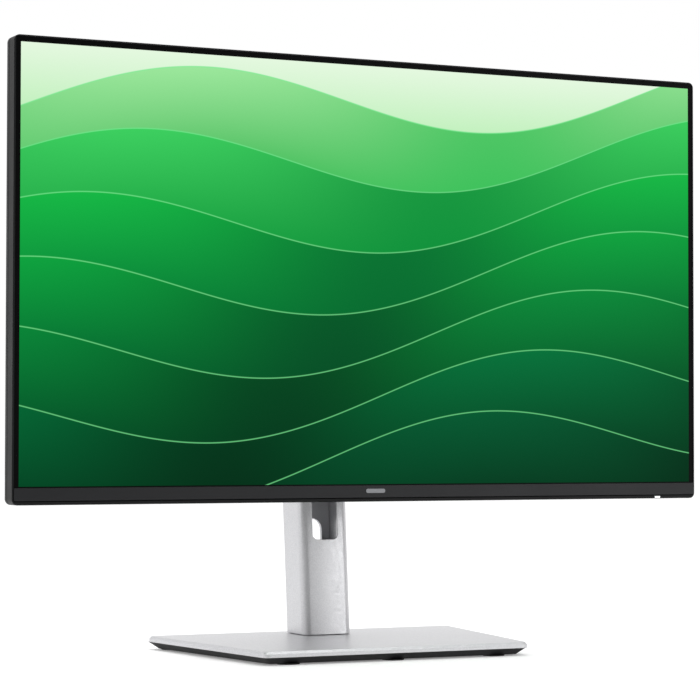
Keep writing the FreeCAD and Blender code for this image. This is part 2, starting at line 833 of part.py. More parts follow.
    screw_bore = rod(("0", "swivel_y", "0"), "stand_screw_radius + spindle_fit",
                     "stand_screw_length + base_top", up)
    keep(cut("column_channel", lean_back(channel), [trims[0]]),
         cut("column_rear_cover", lean_back(drilled), [trims[1]]),
         cut("column_foot_block", lean_back(drilled_foot), [trims[2], screw_bore]),
         lean_back(group("column_screws", screws)))


def make_column_fittings():
    rails = []
    rail_height = "rail_drop + rail_rise"
    for side in ("", "-"):
        at = (f"{side}(rail_x - rail_lip / 2)", "column_reach", "-rail_drop")
        rail = padded("column_rail", "XY", at, ("rail_lip", "2 * rail_half"), rail_height)
        groove = (f"{side}(rail_x - rail_thick - rail_lip / 2)", "column_reach", "-rail_drop")
        pocket(rail, "XY", groove, ("rail_lip", "2 * rail_half - 2 * rail_thick"), rail_height)
        rails.append(rail)
    cap = padded("column_top_cap", "XY", ("0", "column_reach", "column_rise"),
                 ("column_width", "column_depth"), "column_cap")
    reach = dims["column_reach"]
    dress("Fillet", cap, "column_front_corner", along(up, lambda middle: middle.y < reach))
    dress("Fillet", cap, "rim_width", at_level(2, dims["column_rise"] + dims["column_cap"]))
    tongue_y = f"({plate_y} - hair_gap - glide_thick)"
    tongue = ("foot_block_width", "glide_thick")
    pad(cap, "XY", ("0", f"{tongue_y} + glide_thick / 2", "column_rise - tongue_drop"), tongue,
        "tongue_drop")
    for x in ("-rear_screw_x", "rear_screw_x"):
        pocket(cap, "XZ", (x, tongue_y, "rear_screw_rise"), "screw_radius", "glide_thick")
    strips = []
    for side in ("", "-"):
        x = f"{side}(coil_gap + coil_width / 2)"
        strip_at = (x, "coil_y + coil_radius + strip_clearance + strip_thick / 2", "-coil_drop")
        strips.append(padded("strip", "XY", strip_at, ("strip_width", "strip_thick"),
                             "coil_drop + column_rise - strip_end"))
    keep(lean_back(group("column_rails", rails)), lean_back(cap), lean_back(group("spring_strips", strips)))


# ---- the carriage that slides in the column ----

def make_carriage():
    frame = new_body("carriage_frame")
    pad(frame, "YZ", ("-arm_width / 2", "0", "0"), "knuckle_radius", "arm_width")
    arm_end = f"({column_front} + column_wall + saddle_gap)"
    pad(frame, "XZ", ("0", "0", "0"), ("arm_width", "arm_height"), arm_end)
    saddle_middle = "(saddle_rise - saddle_drop) / 2"
    pad(frame, "XZ", ("0", arm_end, saddle_middle), ("saddle_width", "saddle_drop + saddle_rise"),
        "saddle_thick")
    cheek_y = f"({arm_end} + saddle_thick)"
    for side in ("", "-"):
        at = (f"{side}(cheek_x + cheek_thick / 2)", f"{cheek_y} - 1", "(cheek_rise - cheek_drop) / 2")
        pad(frame, "XZ", at, ("cheek_thick", "cheek_drop + cheek_rise"), "cheek_depth + 1")
    pocket(frame, "YZ", ("-cheek_x - cheek_thick - 1", "coil_y", "-coil_drop"), "axle_radius",
           "2 * cheek_x + 2 * cheek_thick + 2")
    bore = ("-arm_width", "0", "0")
    pocket(frame, "YZ", bore, "tilt_shaft_radius + spindle_fit", "2 * arm_width")
    axle_at = ("-cheek_x - cheek_thick", "coil_y", "-coil_drop")
    axle = padded("spring_axle", "YZ", axle_at, "axle_radius", "2 * cheek_x + 2 * cheek_thick")
    glides = []
    for side in ("", "-"):
        for z in ("-glide_low", "glide_high"):
            at = (f"{side}(cheek_x + cheek_thick + glide_thick / 2)", "column_reach", z)
            glides.append(padded("glide", "XY", at, ("glide_thick", "glide_across"), "glide_height"))
    keep(lean_back(frame), lean_back(axle), lean_back(group("carriage_glides", glides)))
    for side, name in (("-", "left"), ("", "right")):
        start = "coil_gap" if side == "" else "-coil_gap - coil_width"
        coil = padded(f"spring_coil_{name}", "YZ", (start, "coil_y", "-coil_drop"), "coil_radius",
                      "coil_width")
        pocket(coil, "YZ", (start, "coil_y", "-coil_drop"), "coil_bore", "coil_width")
        edge = (f"{start} + coil_width - coil_flange", "coil_y", "-coil_drop")
        pocket(coil, "YZ", edge, "coil_radius - strip_thick * 4", "coil_flange")
        hub_at = (f"{start} + coil_width - coil_flange", "coil_y", "-coil_drop")
        pad(coil, "YZ", hub_at, "coil_hub", "coil_flange")
        pocket(coil, "YZ", hub_at, "coil_bore", "coil_flange")
        keep(lean_back(coil))


# ---- the tilting yoke ----

def make_tilt_head():
    centre = ("tilt_y", "screen_z")
    yoke = padded("tilt_yoke", "XZ", ("0", "yoke_y", "screen_z"), ("yoke_size", "yoke_size"), "yoke_thick")
    dress("Fillet", yoke, "plate_corner", along(back))
    for side in ("", "-"):
        x = f"{side}(ear_x + ear_thick / 2)"
        pad(yoke, "XZ", (x, "yoke_y + yoke_thick - 1", "screen_z"), ("ear_thick", "2 * ear_radius"),
            "tilt_y - yoke_y - yoke_thick + 1")
        start = f"{x} - ear_thick / 2"
        pad(yoke, "YZ", (start, *centre), "ear_radius", "ear_thick")
    pocket(yoke, "YZ", ("-yoke_size", *centre), "tilt_shaft_radius", "2 * yoke_size")
    pocket(yoke, "XZ", ("0", "yoke_y", "screen_z"), "pivot_radius + pivot_fit", "yoke_thick")

    shaft = padded("tilt_shaft", "YZ", ("-tilt_shaft_length / 2", *centre), "tilt_shaft_radius",
                   "tilt_shaft_length")
    washers = []
    for side in (1, -1):
        for turn in range(dims["washer_count"]):
            start = f"{side} * (washer_x + {turn} * washer_pitch + washer_thick / 2) - washer_thick / 2"
            disc = rod((start, *centre), "washer_radius", "washer_thick", across)
            hole = rod((start, *centre), "tilt_shaft_radius", "washer_thick", across)
            washers.append(cut("washer", disc, [hole]))

    shroud = padded("hinge_cover", "XZ", ("0", "shroud_y", "screen_z"), ("cover_size", "cover_size"),
                    "shroud_depth")
    dress("Fillet", shroud, "shroud_corner", along(back))
    shroud_back = dims["shroud_y"] + dims["shroud_depth"]
    dress("Fillet", shroud, "shroud_edge", at_level(1, shroud_back))
    hollow_y = "shroud_y + shroud_wall"
    inside = "cover_size - 2 * shroud_wall"
    pocket(shroud, "XZ", ("0", hollow_y, "screen_z"), (inside, inside), "shroud_depth")
    window = "hub_radius + 2"
    pocket(shroud, "XZ", ("0", "shroud_y", "screen_z"), window, "shroud_wall")
    keep(yoke, shaft, group("tilt_washers", washers), shroud)


# ---- the display head: mount, latch and pivot ----

def make_mount():
    plate = padded("stand_plate", "XZ", ("0", "0", "screen_z"), ("plate_size", "plate_size"), "plate_thick")
    dress("Fillet", plate, "plate_corner", along(back))
    dress("Chamfer", plate, "rim_edge", at_level(1, dims["plate_thick"]))
    plate_bottom = "(screen_z - plate_size / 2)"
    pocket(plate, "XZ", ("0", "0", plate_bottom), ("notch_width", "2 * notch_height"),
           "tongue_reach + 2 * slack")
    hub = padded("pivot_hub", "XZ", ("0", "plate_thick", "screen_z"), "hub_radius", "hub_thick")
    pad(hub, "XZ", ("0", "plate_thick + hub_thick - 1", "screen_z"), "pivot_radius",
        "pivot_reach - hub_thick + 1")
    ring = padded("pivot_retainer", "XZ", ("0", "retainer_y", "screen_z"), "retainer_radius",
                  "retainer_thick")
    pocket(ring, "XZ", ("0", "retainer_y", "screen_z"), "pivot_radius", "retainer_thick")

    latch_y = "(-cover_wall - disc_gap - latch_thick)"
    tongue_top = f"({plate_bottom} + notch_height - disc_gap)"
    latch_middle = f"({tongue_top} - latch_height / 2)"
    latch = padded("release_latch", "XZ", ("0", latch_y, latch_middle), ("latch_width", "latch_height"),
                   "latch_thick")
    pad(latch, "XZ", ("0", f"{latch_y} + latch_thick - 1", f"{tongue_top} - tongue_height / 2"),
        ("tongue_width", "tongue_height"), "1 + disc_gap + cover_wall + tongue_reach")
    button = padded("release_button", "XZ", ("0", "release_proud - release_thick", "release_z"),
                    ("release_width", "release_height"), "release_thick")
    dress("Fillet", button, "rim_width", along(back))
    dress("Fillet", button, "rim_edge", at_level(1, dims["release_proud"]))
    pad(button, "XZ", ("0", "release_proud - release_thick", "release_z"),
        ("release_width + 2 * release_flange",
         "release_height + 0.5 * release_flange"), "release_flange_thick")
    keep(plate, hub, ring, latch, button)


# ---- the display head: panel ----

def make_panel():
    screen = ("0", "screen_y", "screen_z")
    film_size = ("active_width + 2 * polariser_margin", "active_height + 2 * polariser_margin")
    polariser = padded("front_polariser", "XZ", screen, film_size, "polariser_thick")
    glass_low = f"({head_bottom} + lip_height + glass_foot)"
    glass_high = f"({head_top} - rim_width - slack)"
    glass = padded("lcd_glass", "XZ", ("0", glass_y, f"({glass_low} + {glass_high}) / 2"),
                   (f"{head_width} - 2 * rim_width - 2 * slack",
                    f"{glass_high} - {glass_low}"), "glass_thick")
    stack = ("stack_width", "stack_height")
    films = padded("optical_films", "XZ", ("0", film_y, "screen_z"), stack, "film_thick")
    guide = padded("light_guide_plate", "XZ", ("0", guide_y, "screen_z"), stack, "guide_thick")
    reflector = padded("reflector_sheet", "XZ", ("0", reflector_y, "screen_z"), stack, "reflector_thick")
    tray = padded("panel_back_tray", "XZ", ("0", film_y, "tray_z"), ("tray_width", "tray_height"),
                  "tray_depth")
    inside = ("tray_width - 2 * tray_wall", "tray_height - 2 * tray_wall")
    pocket(tray, "XZ", ("0", film_y, "tray_z"), inside, "tray_depth - tray_wall")

    leds = new_body("led_bar")
    board_middle = ("0", f"{guide_y} + led_board_depth / 2", "led_board_z - led_board_thick")
    pad(leds, "XY", board_middle, ("led_board_width", "led_board_depth"), "led_board_thick")
    first = "(led_board_width / 2 - led_pitch / 2)"
    led = pad(leds, "XY", (f"-{first}", f"{guide_y} + led_board_depth / 2", "led_board_z"),
              ("led_width", "led_board_depth - 1"), "led_height")
    row = leds.newObject("PartDesign::LinearPattern", "led_row")
    row.Originals = [led]
    row.Direction = (led.Profile[0], ["H_Axis"])
    row.setExpression("Length", bound(f"2 * {first}"))
    row.setExpression("Occurrences", bound("floor(led_board_width / led_pitch)"))
    leds.Tip = row

    driver_y = f"({film_y} + tray_depth)"
    driver = padded("panel_driver_board", "XZ", ("driver_x", driver_y, "driver_z"),
                    ("driver_width", "driver_height"), "driver_thick")
    chip = ("chip_size", "chip_size")
    for x in ("driver_x - chip_pitch", "driver_x", "driver_x + chip_pitch"):
        pad(driver, "XZ", (x, f"{driver_y} + driver_thick", "driver_z"), chip, "driver_thick")
    keep(polariser, glass, films, guide, reflector, leds, tray, driver)


# ---- the display head: casing ----

def make_front_frame():
    outer = (head_width, head_height)
    frame = padded("middle_frame", "XZ", ("0", frame_front, head_middle), outer, "frame_depth")
    dress("Fillet", frame, "head_corner", along(back))
    dress("Chamfer", frame, "rim_edge", at_level(1, dims["screen_y"] - dims["rim_proud"]))
    opening_low = f"({head_bottom} + lip_height)"
    opening_high = f"({head_top} - rim_width)"
    opening = (f"{head_width} - 2 * rim_width", f"{opening_high} - {opening_low}")
    pocket(frame, "XZ", ("0", frame_front, f"({opening_low} + {opening_high}) / 2"), opening,
           "frame_depth - ledge_thick")
    inside = (f"{head_width} - 2 * frame_ledge", f"{head_height} - 2 * frame_ledge")
    pocket(frame, "XZ", ("0", frame_front, head_middle), inside, "frame_depth")
    light_middle = f"({head_bottom} + lip_height / 2)"
    pocket(frame, "XZ", ("window_x", frame_front, light_middle), ("window_width", "window_height"),
           "window_depth")

    window_y = f"({frame_front} + hair_gap)"
    window = padded("led_window", "XZ", ("window_x", window_y, light_middle),
                    ("window_width", "window_height"), "window_depth - hair_gap")

    chin_low = f"({head_bottom} + lip_height + chin_gap)"
    chin_y = "(screen_y - chin_proud)"
    chin_width = f"({head_width} - 2 * rim_width - 2 * slack)"
    chin = padded("chin_strip", "XZ", ("0", chin_y, f"{chin_low} + chin_height / 2"),
                  (chin_width, "chin_height"), "chin_wall")
    pad(chin, "XZ", ("0", chin_y, f"{chin_low} + chin_foot_thick / 2"), (chin_width, "chin_foot_thick"),
        "chin_foot")
    dress("Fillet", chin, "rim_edge", lambda edge: at_level(1, dims["screen_y"] - dims["chin_proud"])(edge)
          and edge.BoundBox.XLength > 1)
    badge = padded("chin_badge", "XZ", ("0", f"{chin_y} - badge_thick", "badge_z"),
                   ("badge_width", "badge_height"), "badge_thick")
    dress("Fillet", badge, "badge_corner", along(back))
    keep(frame, window, chin, badge)


def wedge(label, wall, front):
    """The rear bulge as a tapered block, drawn in by a wall on every side but its open front."""
    piece = doc.addObject("Part::Wedge", label)
    sizes = {
        "Xmin": f"-bulge_width / 2 + {wall}", "Xmax": f"bulge_width / 2 - {wall}",
        "X2min": f"-bulge_top_width / 2 + {wall}", "X2max": f"bulge_top_width / 2 - {wall}",
        "Zmin": f"bulge_bottom + {wall}", "Zmax": f"bulge_top - {wall}",
        "Z2min": f"bulge_bottom + {wall}", "Z2max": f"bulge_flat_top - {wall}",
        "Ymin": front, "Ymax": f"-{wall}",
    }
    for name, formula in sizes.items():
        piece.setExpression(name, bound(formula))
    return piece


def rounded_bulge():
    """The outside of the bulge, with its rear edges and its four sloping corners rounded."""
    solid = wedge("bulge_skin", "0", f"{cover_back} - cover_wall")
    doc.recompute()
    front = min(corner.Y for corner in solid.Shape.Vertexes)
    piece = doc.addObject("Part::Fillet", "bulge_rounded")
    piece.Base = solid
    radius = dims["bulge_corner"]
    piece.Edges = [(number, radius, radius) for number, edge in enumerate(solid.Shape.Edges, start=1)
                   if edge.CenterOfMass.y > front + dims["slack"]]
    return piece


def make_rear_cover():
    flange = padded("rear_flange", "XZ", ("0", "cover_y", head_middle), (head_width, head_height),
                    "cover_depth")
    dress("Fillet", flange, "head_corner", along(back))
    dress("Fillet", flange, "cover_edge", at_level(1, dims["cover_y"] + dims["cover_depth"]))
    inside = (f"{head_width} - 2 * cover_wall", f"{head_height} - 2 * cover_wall")
    hollow = padded("flange_hollow", "XZ", ("0", "cover_y", head_middle), inside,
                    "cover_depth - cover_wall")
    dress("Fillet", hollow, "head_corner - cover_wall", along(back))
    skin = fused("cover_skin", [flange, rounded_bulge()])

    tools = [hollow, wedge("bulge_hollow", "cover_wall", "cover_y")]
    vents = int(dims["vent_run"] / dims["vent_pitch"]) + 1
    for low in ("upper_vent_z", "lower_vent_z"):
        for side in (1, -1):
            for turn in range(vents):
                x = f"{side} * (vent_x + {turn} * vent_pitch) - vent_width / 2"
                tools.append(block((x, "-2 * cover_wall", low),
                                   ("vent_width", "4 * cover_wall", "vent_height")))
    half = "mount_pitch / 2"
    for x, z in quarters(half, half):
        boss = (x, "-2 * cover_wall", f"screen_z + {z}")
        tools.append(rod(boss, "boss_radius + running_gap", "4 * cover_wall", back))
    for x, z in cover_screw_places:
        tools.append(rod((x, "-2 * cover_wall", z), "screw_radius + running_gap", "4 * cover_wall", back))
        tools.append(rod((x, "-screw_head_thick - slack", z), "screw_head + running_gap", "4 * cover_wall",
                         back))
    gap = "button_gap"
    tools.append(block((f"-release_width / 2 - {gap}", "-2 * cover_wall",
                        f"release_z - release_height / 2 - {gap}"),
                       (f"release_width + 2 * {gap}", "4 * cover_wall", f"release_height + 2 * {gap}")))
    slot_low = "screen_z - plate_size / 2 + notch_height - tongue_height - latch_travel - 2 * disc_gap"
    tools.append(block(("-notch_width / 2", "-2 * cover_wall", slot_low),
                       ("notch_width", "4 * cover_wall", "tongue_height + latch_travel + 2 * disc_gap")))
    tools.append(rod(("stick_x", "cover_y", "stick_z"), "stick_hole", "2 * cover_depth", back))
    lock = ("lock_x - lock_width / 2", "cover_y", "lock_z - lock_height / 2")
    tools.append(block(lock, ("lock_width", "2 * cover_depth", "lock_height")))
    button_low = ("power_button_x - power_button_width / 2 - button_gap",
                  "power_button_y - power_button_across / 2 - button_gap", f"{head_bottom} - 1")
    tools.append(block(button_low, ("power_button_width + 2 * button_gap",
                                    "power_button_across + 2 * button_gap", "cover_wall + 2")))
    for x, y, wide, deep in socket_windows:
        low = (f"{x} - {wide} / 2 - slack", f"{y} - {deep} / 2 - slack", "bulge_bottom - 1")
        tools.append(block(low, (f"{wide} + 2 * slack", f"{deep} + 2 * slack", "cover_wall + 2")))
    screws = [screw((x, "-slack", z), -back) for x, z in cover_screw_places]
    keep(cut("rear_cover", skin, tools), group("rear_cover_screws", screws))


cover_screw_places = [("-cover_screw_upper_x", "cover_screw_upper_z"),
                      ("cover_screw_upper_x", "cover_screw_upper_z"),
                      ("-cover_screw_lower_x", "cover_screw_lower_z"),
                      ("cover_screw_lower_x", "cover_screw_lower_z")]

# each socket's x, its width and its depth across, and how far it reaches up into the case
video_sockets = [("digital_x", "digital_width", "digital_across", "digital_height"),
                 ("port_x", "port_width", "digital_across", "port_height")]
analog_socket = ("analog_x", "analog_width", "analog_across", "analog_height")
downstream_size = ("downstream_width", "downstream_across", "downstream_height")
usb_sockets = [("upstream_x", "upstream_width", "upstream_across", "upstream_height"),
               ("downstream_x", *downstream_size),
               ("(downstream_x + downstream_pitch)", *downstream_size)]
socket_y = f"({board_back} + hair_gap)"
socket_windows = [(x, f"({socket_y} + {deep} / 2)", wide, deep)
                  for x, wide, deep, _ in [*video_sockets, analog_socket, *usb_sockets]]
socket_windows.append(("inlet_x", "inlet_y", "inlet_width", "inlet_across"))


# ---- the display head: chassis, boards and sockets ----

def make_chassis():
    plate_low = ("-chassis_width / 2", "chassis_y", "chassis_bottom")
    plate = block(plate_low, ("chassis_width", "chassis_thick", "chassis_height"))
    half = "mount_pitch / 2"
    solid = [plate]
    holes = []
    for x, z in quarters(half, half):
        z = f"(screen_z + {z})"
        solid.append(rod((x, "chassis_y", z), "boss_radius", "-chassis_y", back))
        holes.append(rod((x, "-boss_bore_depth", z), "boss_bore", "boss_bore_depth", back))
    for x, z in cover_screw_places:
        solid.append(rod((x, "chassis_y", z), "post_radius", "-chassis_y - cover_wall", back))
        holes.append(rod((x, "-screw_length - 2 * cover_wall", z), "screw_radius", "2 * screw_length",
                         back))
    for x, z in standoff_places():
        solid.append(rod((x, "chassis_y", z), "standoff_radius", f"{board_y} - chassis_y", back))
        holes.append(rod((x, "chassis_y - 1", z), "screw_radius", "2 * standoff_height", back))
    keep(cut("vesa_chassis", fused("chassis_blank", solid), holes))


def board_corners(name):
    pairs = quarters(f"({name}_width / 2 - board_edge)", f"({name}_height / 2 - board_edge)")
    return [(f"({name}_x + {x})", f"({name}_z + {z})") for x, z in pairs]


def standoff_places():
    return board_corners("main") + board_corners("power")


def make_boards():
    for name in ("main", "power"):
        middle = (f"{name}_x", board_y, f"{name}_z")
        board = padded(f"{name}_board", "XZ", middle, (f"{name}_width", f"{name}_height"), "board_thick")
        for x, z in board_corners(name):
            pocket(board, "XZ", (x, board_y, z), "screw_radius + running_gap", "board_thick")
        keep(board)
    screws = []
    for x, z in standoff_places():
        head = rod((x, board_back, z), "screw_head", "screw_head_thick", back)
        shank = rod((x, "chassis_y + chassis_thick + 5 * hair_gap", z), "screw_radius",
                    f"{board_back} - chassis_y - chassis_thick", back)
        screws.append(fused("board_screw", [head, shank]))

    sink_at = ("sink_x", board_back, "main_z")
    sink = padded("heat_sink", "XZ", sink_at, ("sink_width", "sink_height"), "sink_foot")
    edge = "(sink_width / 2 - fin_thick / 2)"
    fin = pad(sink, "XZ", (f"sink_x - {edge}", f"{board_back} + sink_foot", "main_z"),
              ("fin_thick", "sink_height"), "fin_height")
    fins = sink.newObject("PartDesign::LinearPattern", "fins")
    fins.Originals = [fin]
    fins.Direction = (fin.Profile[0], ["H_Axis"])
    fins.setExpression("Length", bound(f"2 * {edge}"))
    fins.setExpression("Occurrences", bound("floor(sink_width / fin_pitch) + 1"))
    sink.Tip = fins

    parts = [block((f"{name}_x", board_back, f"{name}_z"),
                   (f"{name}_width", f"{name}_depth", f"{name}_height"))
             for name in ("transformer", "choke", "filter")]
    capacitors = [("capacitor_x", "capacitor_upper_z"), ("capacitor_x", "capacitor_lower_z"),
                  ("small_capacitor_x", "small_capacitor_z")]
    for x, z in capacitors:
        parts.append(rod((x, board_back, z), "capacitor_radius", "capacitor_height", back))
    keep(group("board_screws", screws), sink, group("power_board_parts", parts))


def hollow_socket(label, x, wide, deep, tall):
    """A metal socket shell, open at its lower end, with its contact tongue."""
    shell = padded(label, "XY", (x, f"{socket_y} + {deep} / 2", "socket_z"), (wide, deep), tall)
    inner = (f"{wide} - 2 * socket_wall", f"{deep} - 2 * socket_wall")
    pocket(shell, "XY", (x, f"{socket_y} + {deep} / 2", "socket_z"), inner, f"{tall} - 2")
    pad(shell, "XY", (x, f"{socket_y} + {deep} / 2", "socket_z + tongue_inset"),
        (f"{wide} * tongue_share", f"{deep} * socket_tongue"), f"{tall} - 2 * tongue_inset")
    return shell


def make_sockets():
    videos = [hollow_socket("video_socket", *sizes) for sizes in video_sockets]
    x, wide, deep, tall = analog_socket
    analog = padded("analog_socket", "XY", (x, f"{socket_y} + {deep} / 2", "socket_z"), (wide, deep), tall)
    barrel = (f"{wide} - 2 * analog_ear", f"{deep} - 2 * analog_lip")
    pocket(analog, "XY", (x, f"{socket_y} + {deep} / 2", "socket_z"), barrel, "socket_wall")
    usbs = [hollow_socket("usb_socket", *sizes) for sizes in usb_sockets]

    inlet = padded("ac_inlet", "XY", ("inlet_x", "inlet_y", "socket_z"), ("inlet_width", "inlet_across"),
                   "inlet_height")
    inside = ("inlet_width - 2 * inlet_wall", "inlet_across - 2 * inlet_wall")
    pocket(inlet, "XY", ("inlet_x", "inlet_y", "socket_z"), inside, "inlet_cavity")
    dress("Chamfer", inlet, "blade_thick", along(up, lambda middle: middle.y > dims["inlet_y"]
          and abs(middle.x - dims["inlet_x"]) > dims["inlet_width"] / 2 - dims["hair_gap"]))
    blades = []
    for turn in (-1, 0, 1):
        x = f"(inlet_x + {turn} * blade_pitch - blade_thick / 2)"
        lift = "blade_offset" if turn == 0 else "-blade_offset"
        y = f"(inlet_y + {lift} - blade_across / 2)"
        z = "(socket_z + inlet_cavity - blade_length)"
        blades.append(block((x, y, z), ("blade_thick", "blade_across", "blade_length")))
    keep(group("video_sockets", videos + [analog]), group("usb_sockets", usbs), inlet,
         group("ac_inlet_pins", blades))


def make_cables():
    """Flat cables held wholly inside the case, as straight runs that fold at right angles."""
    across_top = "chassis_y + chassis_thick + slack"
    ribbon_top = "(ribbon_fold + ribbon_rise - ribbon_thick)"
    panel_run = [block(("ribbon_x", board_back, "ribbon_low"),
                       ("ribbon_width", "ribbon_thick", "ribbon_fold - ribbon_low + 1")),
                 block(("ribbon_x", f"{board_back} - hair_gap", "ribbon_fold"),
                       ("ribbon_width", "ribbon_thick + hair_gap", "ribbon_rise")),
                 block(("ribbon_x", across_top, ribbon_top),
                       ("ribbon_width", f"{board_back} - chassis_y", "ribbon_thick"))]
    led_run = block(("led_lead_x", board_back, "ribbon_low"),
                    ("led_lead_width", "ribbon_thick", "led_lead_height"))
    lead = block(("board_lead_x", board_back, "board_lead_z"),
                 ("board_lead_width", "board_lead_thick", "board_lead_height"))
    keep(group("internal_cables", [fused("panel_cable", panel_run), led_run, lead]))


# ---- the controls ----

def make_controls():
    board = padded("control_board", "XZ", ("control_x", "control_y", "control_z"),
                   ("control_width", "control_height"), "control_thick")
    board_low = "(control_z - control_height / 2)"
    switch_reach = "power_button_y - control_y + power_button_across / 2"
    pad(board, "XZ", ("power_button_x", "control_y", f"{board_low} + switch_height / 2"),
        ("switch_width", "switch_height"), switch_reach)
    switch_low = f"({head_bottom} + power_button_thick - power_button_proud + switch_gap)"
    pad(board, "XY", ("power_button_x", "power_button_y", switch_low),
        ("switch_width", "power_button_across"),
        f"{board_low} + 1 - {switch_low}")
    button = padded("power_button", "XY",
                    ("power_button_x", "power_button_y", f"{head_bottom} - power_button_proud"),
                    ("power_button_width", "power_button_across"), "power_button_thick")
    dress("Fillet", button, "rim_edge", along(up))
    flange_low = f"{head_bottom} - power_button_proud + power_button_thick - power_flange_thick"
    pad(button, "XY", ("power_button_x", "power_button_y", flange_low),
        ("power_button_width + 2 * power_flange", "power_button_across"), "power_flange_thick")

    stick = ("stick_x", "stick_z")
    floor_y = "(control_y + control_thick + disc_gap + 0.5)"

    plunger = padded("joystick_plunger", "XZ", (stick[0], floor_y, stick[1]), "plunger_radius",
                     "plunger_depth + plunger_wall")
    pocket(plunger, "XZ", (stick[0], f"{floor_y} + plunger_wall", stick[1]),
           "plunger_radius - plunger_wall", "plunger_depth")
    gimbal_y = "(stick_pivot_y - gimbal_thick / 2)"
    gimbal = padded("joystick_gimbal", "XZ", (stick[0], gimbal_y, stick[1]), "gimbal_radius",
                    "gimbal_thick")
    pocket(gimbal, "XZ", (stick[0], gimbal_y, stick[1]), "gimbal_hole", "gimbal_thick")
    cap = padded("joystick_cap", "XZ", (stick[0], "cap_y", stick[1]), "cap_radius", "cap_thick")
    dress("Fillet", cap, "cap_edge", at_level(1, dims["cap_y"] + dims["cap_thick"]))
    pad(cap, "XZ", (stick[0], "stick_pivot_y", stick[1]), "stem_radius", "cap_y - stick_pivot_y")
    foot_y = "(stick_pivot_y - stem_ball / 2)"
    pad(cap, "XZ", (stick[0], foot_y, stick[1]), "stem_ball", "stem_ball / 2")
    keep(board, button, plunger, gimbal, cap)


make_base()
make_spindle()
make_column()
make_column_fittings()
make_carriage()
make_tilt_head()
make_mount()
make_panel()
make_front_frame()
make_rear_cover()
make_chassis()
make_boards()
make_sockets()
make_cables()
make_controls()
doc.recompute()

for item in doc.Objects:
    if "Invalid" in item.State or "Error" in item.State:
        raise SystemExit(f"{item.Label} failed: {item.State}")
os.makedirs("parts", exist_ok=True)
for node in nodes:
    if node.Shape.isNull() or not node.Shape.isValid():
        raise SystemExit(f"{node.Label} has no valid shape")
for node in nodes:
    node.Shape.exportStep(f"parts/{node.Label}.step")
print(len(nodes), "nodes written")
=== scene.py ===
import json
import math

import bmesh
import bpy
from mathutils import Matrix, Vector


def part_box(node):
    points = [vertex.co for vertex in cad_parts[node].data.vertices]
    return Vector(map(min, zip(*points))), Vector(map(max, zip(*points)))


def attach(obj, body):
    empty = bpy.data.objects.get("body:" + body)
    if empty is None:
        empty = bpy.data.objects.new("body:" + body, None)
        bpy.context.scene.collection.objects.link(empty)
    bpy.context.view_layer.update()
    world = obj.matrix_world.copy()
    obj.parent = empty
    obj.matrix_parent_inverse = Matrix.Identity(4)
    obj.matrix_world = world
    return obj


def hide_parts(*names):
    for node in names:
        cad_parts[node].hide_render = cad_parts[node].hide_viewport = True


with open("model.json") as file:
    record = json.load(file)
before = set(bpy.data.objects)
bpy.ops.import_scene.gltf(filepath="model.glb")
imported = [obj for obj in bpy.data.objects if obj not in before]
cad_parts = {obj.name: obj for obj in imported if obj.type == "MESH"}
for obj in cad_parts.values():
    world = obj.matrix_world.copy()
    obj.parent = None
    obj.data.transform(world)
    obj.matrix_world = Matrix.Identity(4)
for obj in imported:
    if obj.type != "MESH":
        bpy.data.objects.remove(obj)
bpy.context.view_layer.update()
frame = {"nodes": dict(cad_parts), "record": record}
nodes = frame["nodes"]
slotOf = {part["node"]: part["material_slot"] for part in frame["record"]["subparts"]}
mm = 0.001
print("frame loaded:", len(nodes), "nodes")


# camera and lights, in metres, degrees and watts
cameraPlace = {"at": (-0.79757, -1.66869, 0.15688), "yaw": 25.66, "pitch": 1.91, "roll": 0.08,
               "lens": 130.58, "sensor": 36.0, "near": 0.05, "far": 60.0}


def makeCamera():
    data = bpy.data.cameras.new("camera")
    data.lens = cameraPlace["lens"]
    data.sensor_width = cameraPlace["sensor"]
    data.clip_start = cameraPlace["near"]
    data.clip_end = cameraPlace["far"]
    camera = bpy.data.objects.new("camera", data)
    bpy.context.scene.collection.objects.link(camera)
    yaw, pitch, roll = (math.radians(cameraPlace[key]) for key in ("yaw", "pitch", "roll"))
    turn = Matrix.Rotation(-yaw, 4, "Z") @ Matrix.Rotation(math.pi / 2 + pitch, 4, "X")
    turn = turn @ Matrix.Rotation(roll, 4, "Z")
    camera.matrix_world = Matrix.Translation(cameraPlace["at"]) @ turn
    bpy.context.scene.camera = camera


lampAim = Vector((0, 0, 0.22))
lamps = {
    # a tall softbox front right and a broad one overhead: place, size and watts
    "softboxRight": ((1.42, -2.05, 0.80), (0.7, 1.8), 11.0),
    "softboxTop": ((0.0, 0.4, 2.1), (2.4, 2.0), 24.0),
}


def makeLamps():
    for name, (at, size, power) in lamps.items():
        data = bpy.data.lights.new(name, "AREA")
        data.shape = "RECTANGLE"
        data.size, data.size_y = size
        data.energy = power
        lamp = bpy.data.objects.new(name, data)
        bpy.context.scene.collection.objects.link(lamp)
        aim = lampAim - Vector(at)
        lamp.matrix_world = Matrix.Translation(at) @ aim.to_track_quat("-Z", "Y").to_matrix().to_4x4()


# sRGB hex to linear colour
def linear(code):
    parts = [int(code[n:n + 2], 16) / 255 for n in (1, 3, 5)]
    return (*(p / 12.92 if p <= 0.04045 else ((p + 0.055) / 1.055) ** 2.4 for p in parts), 1.0)


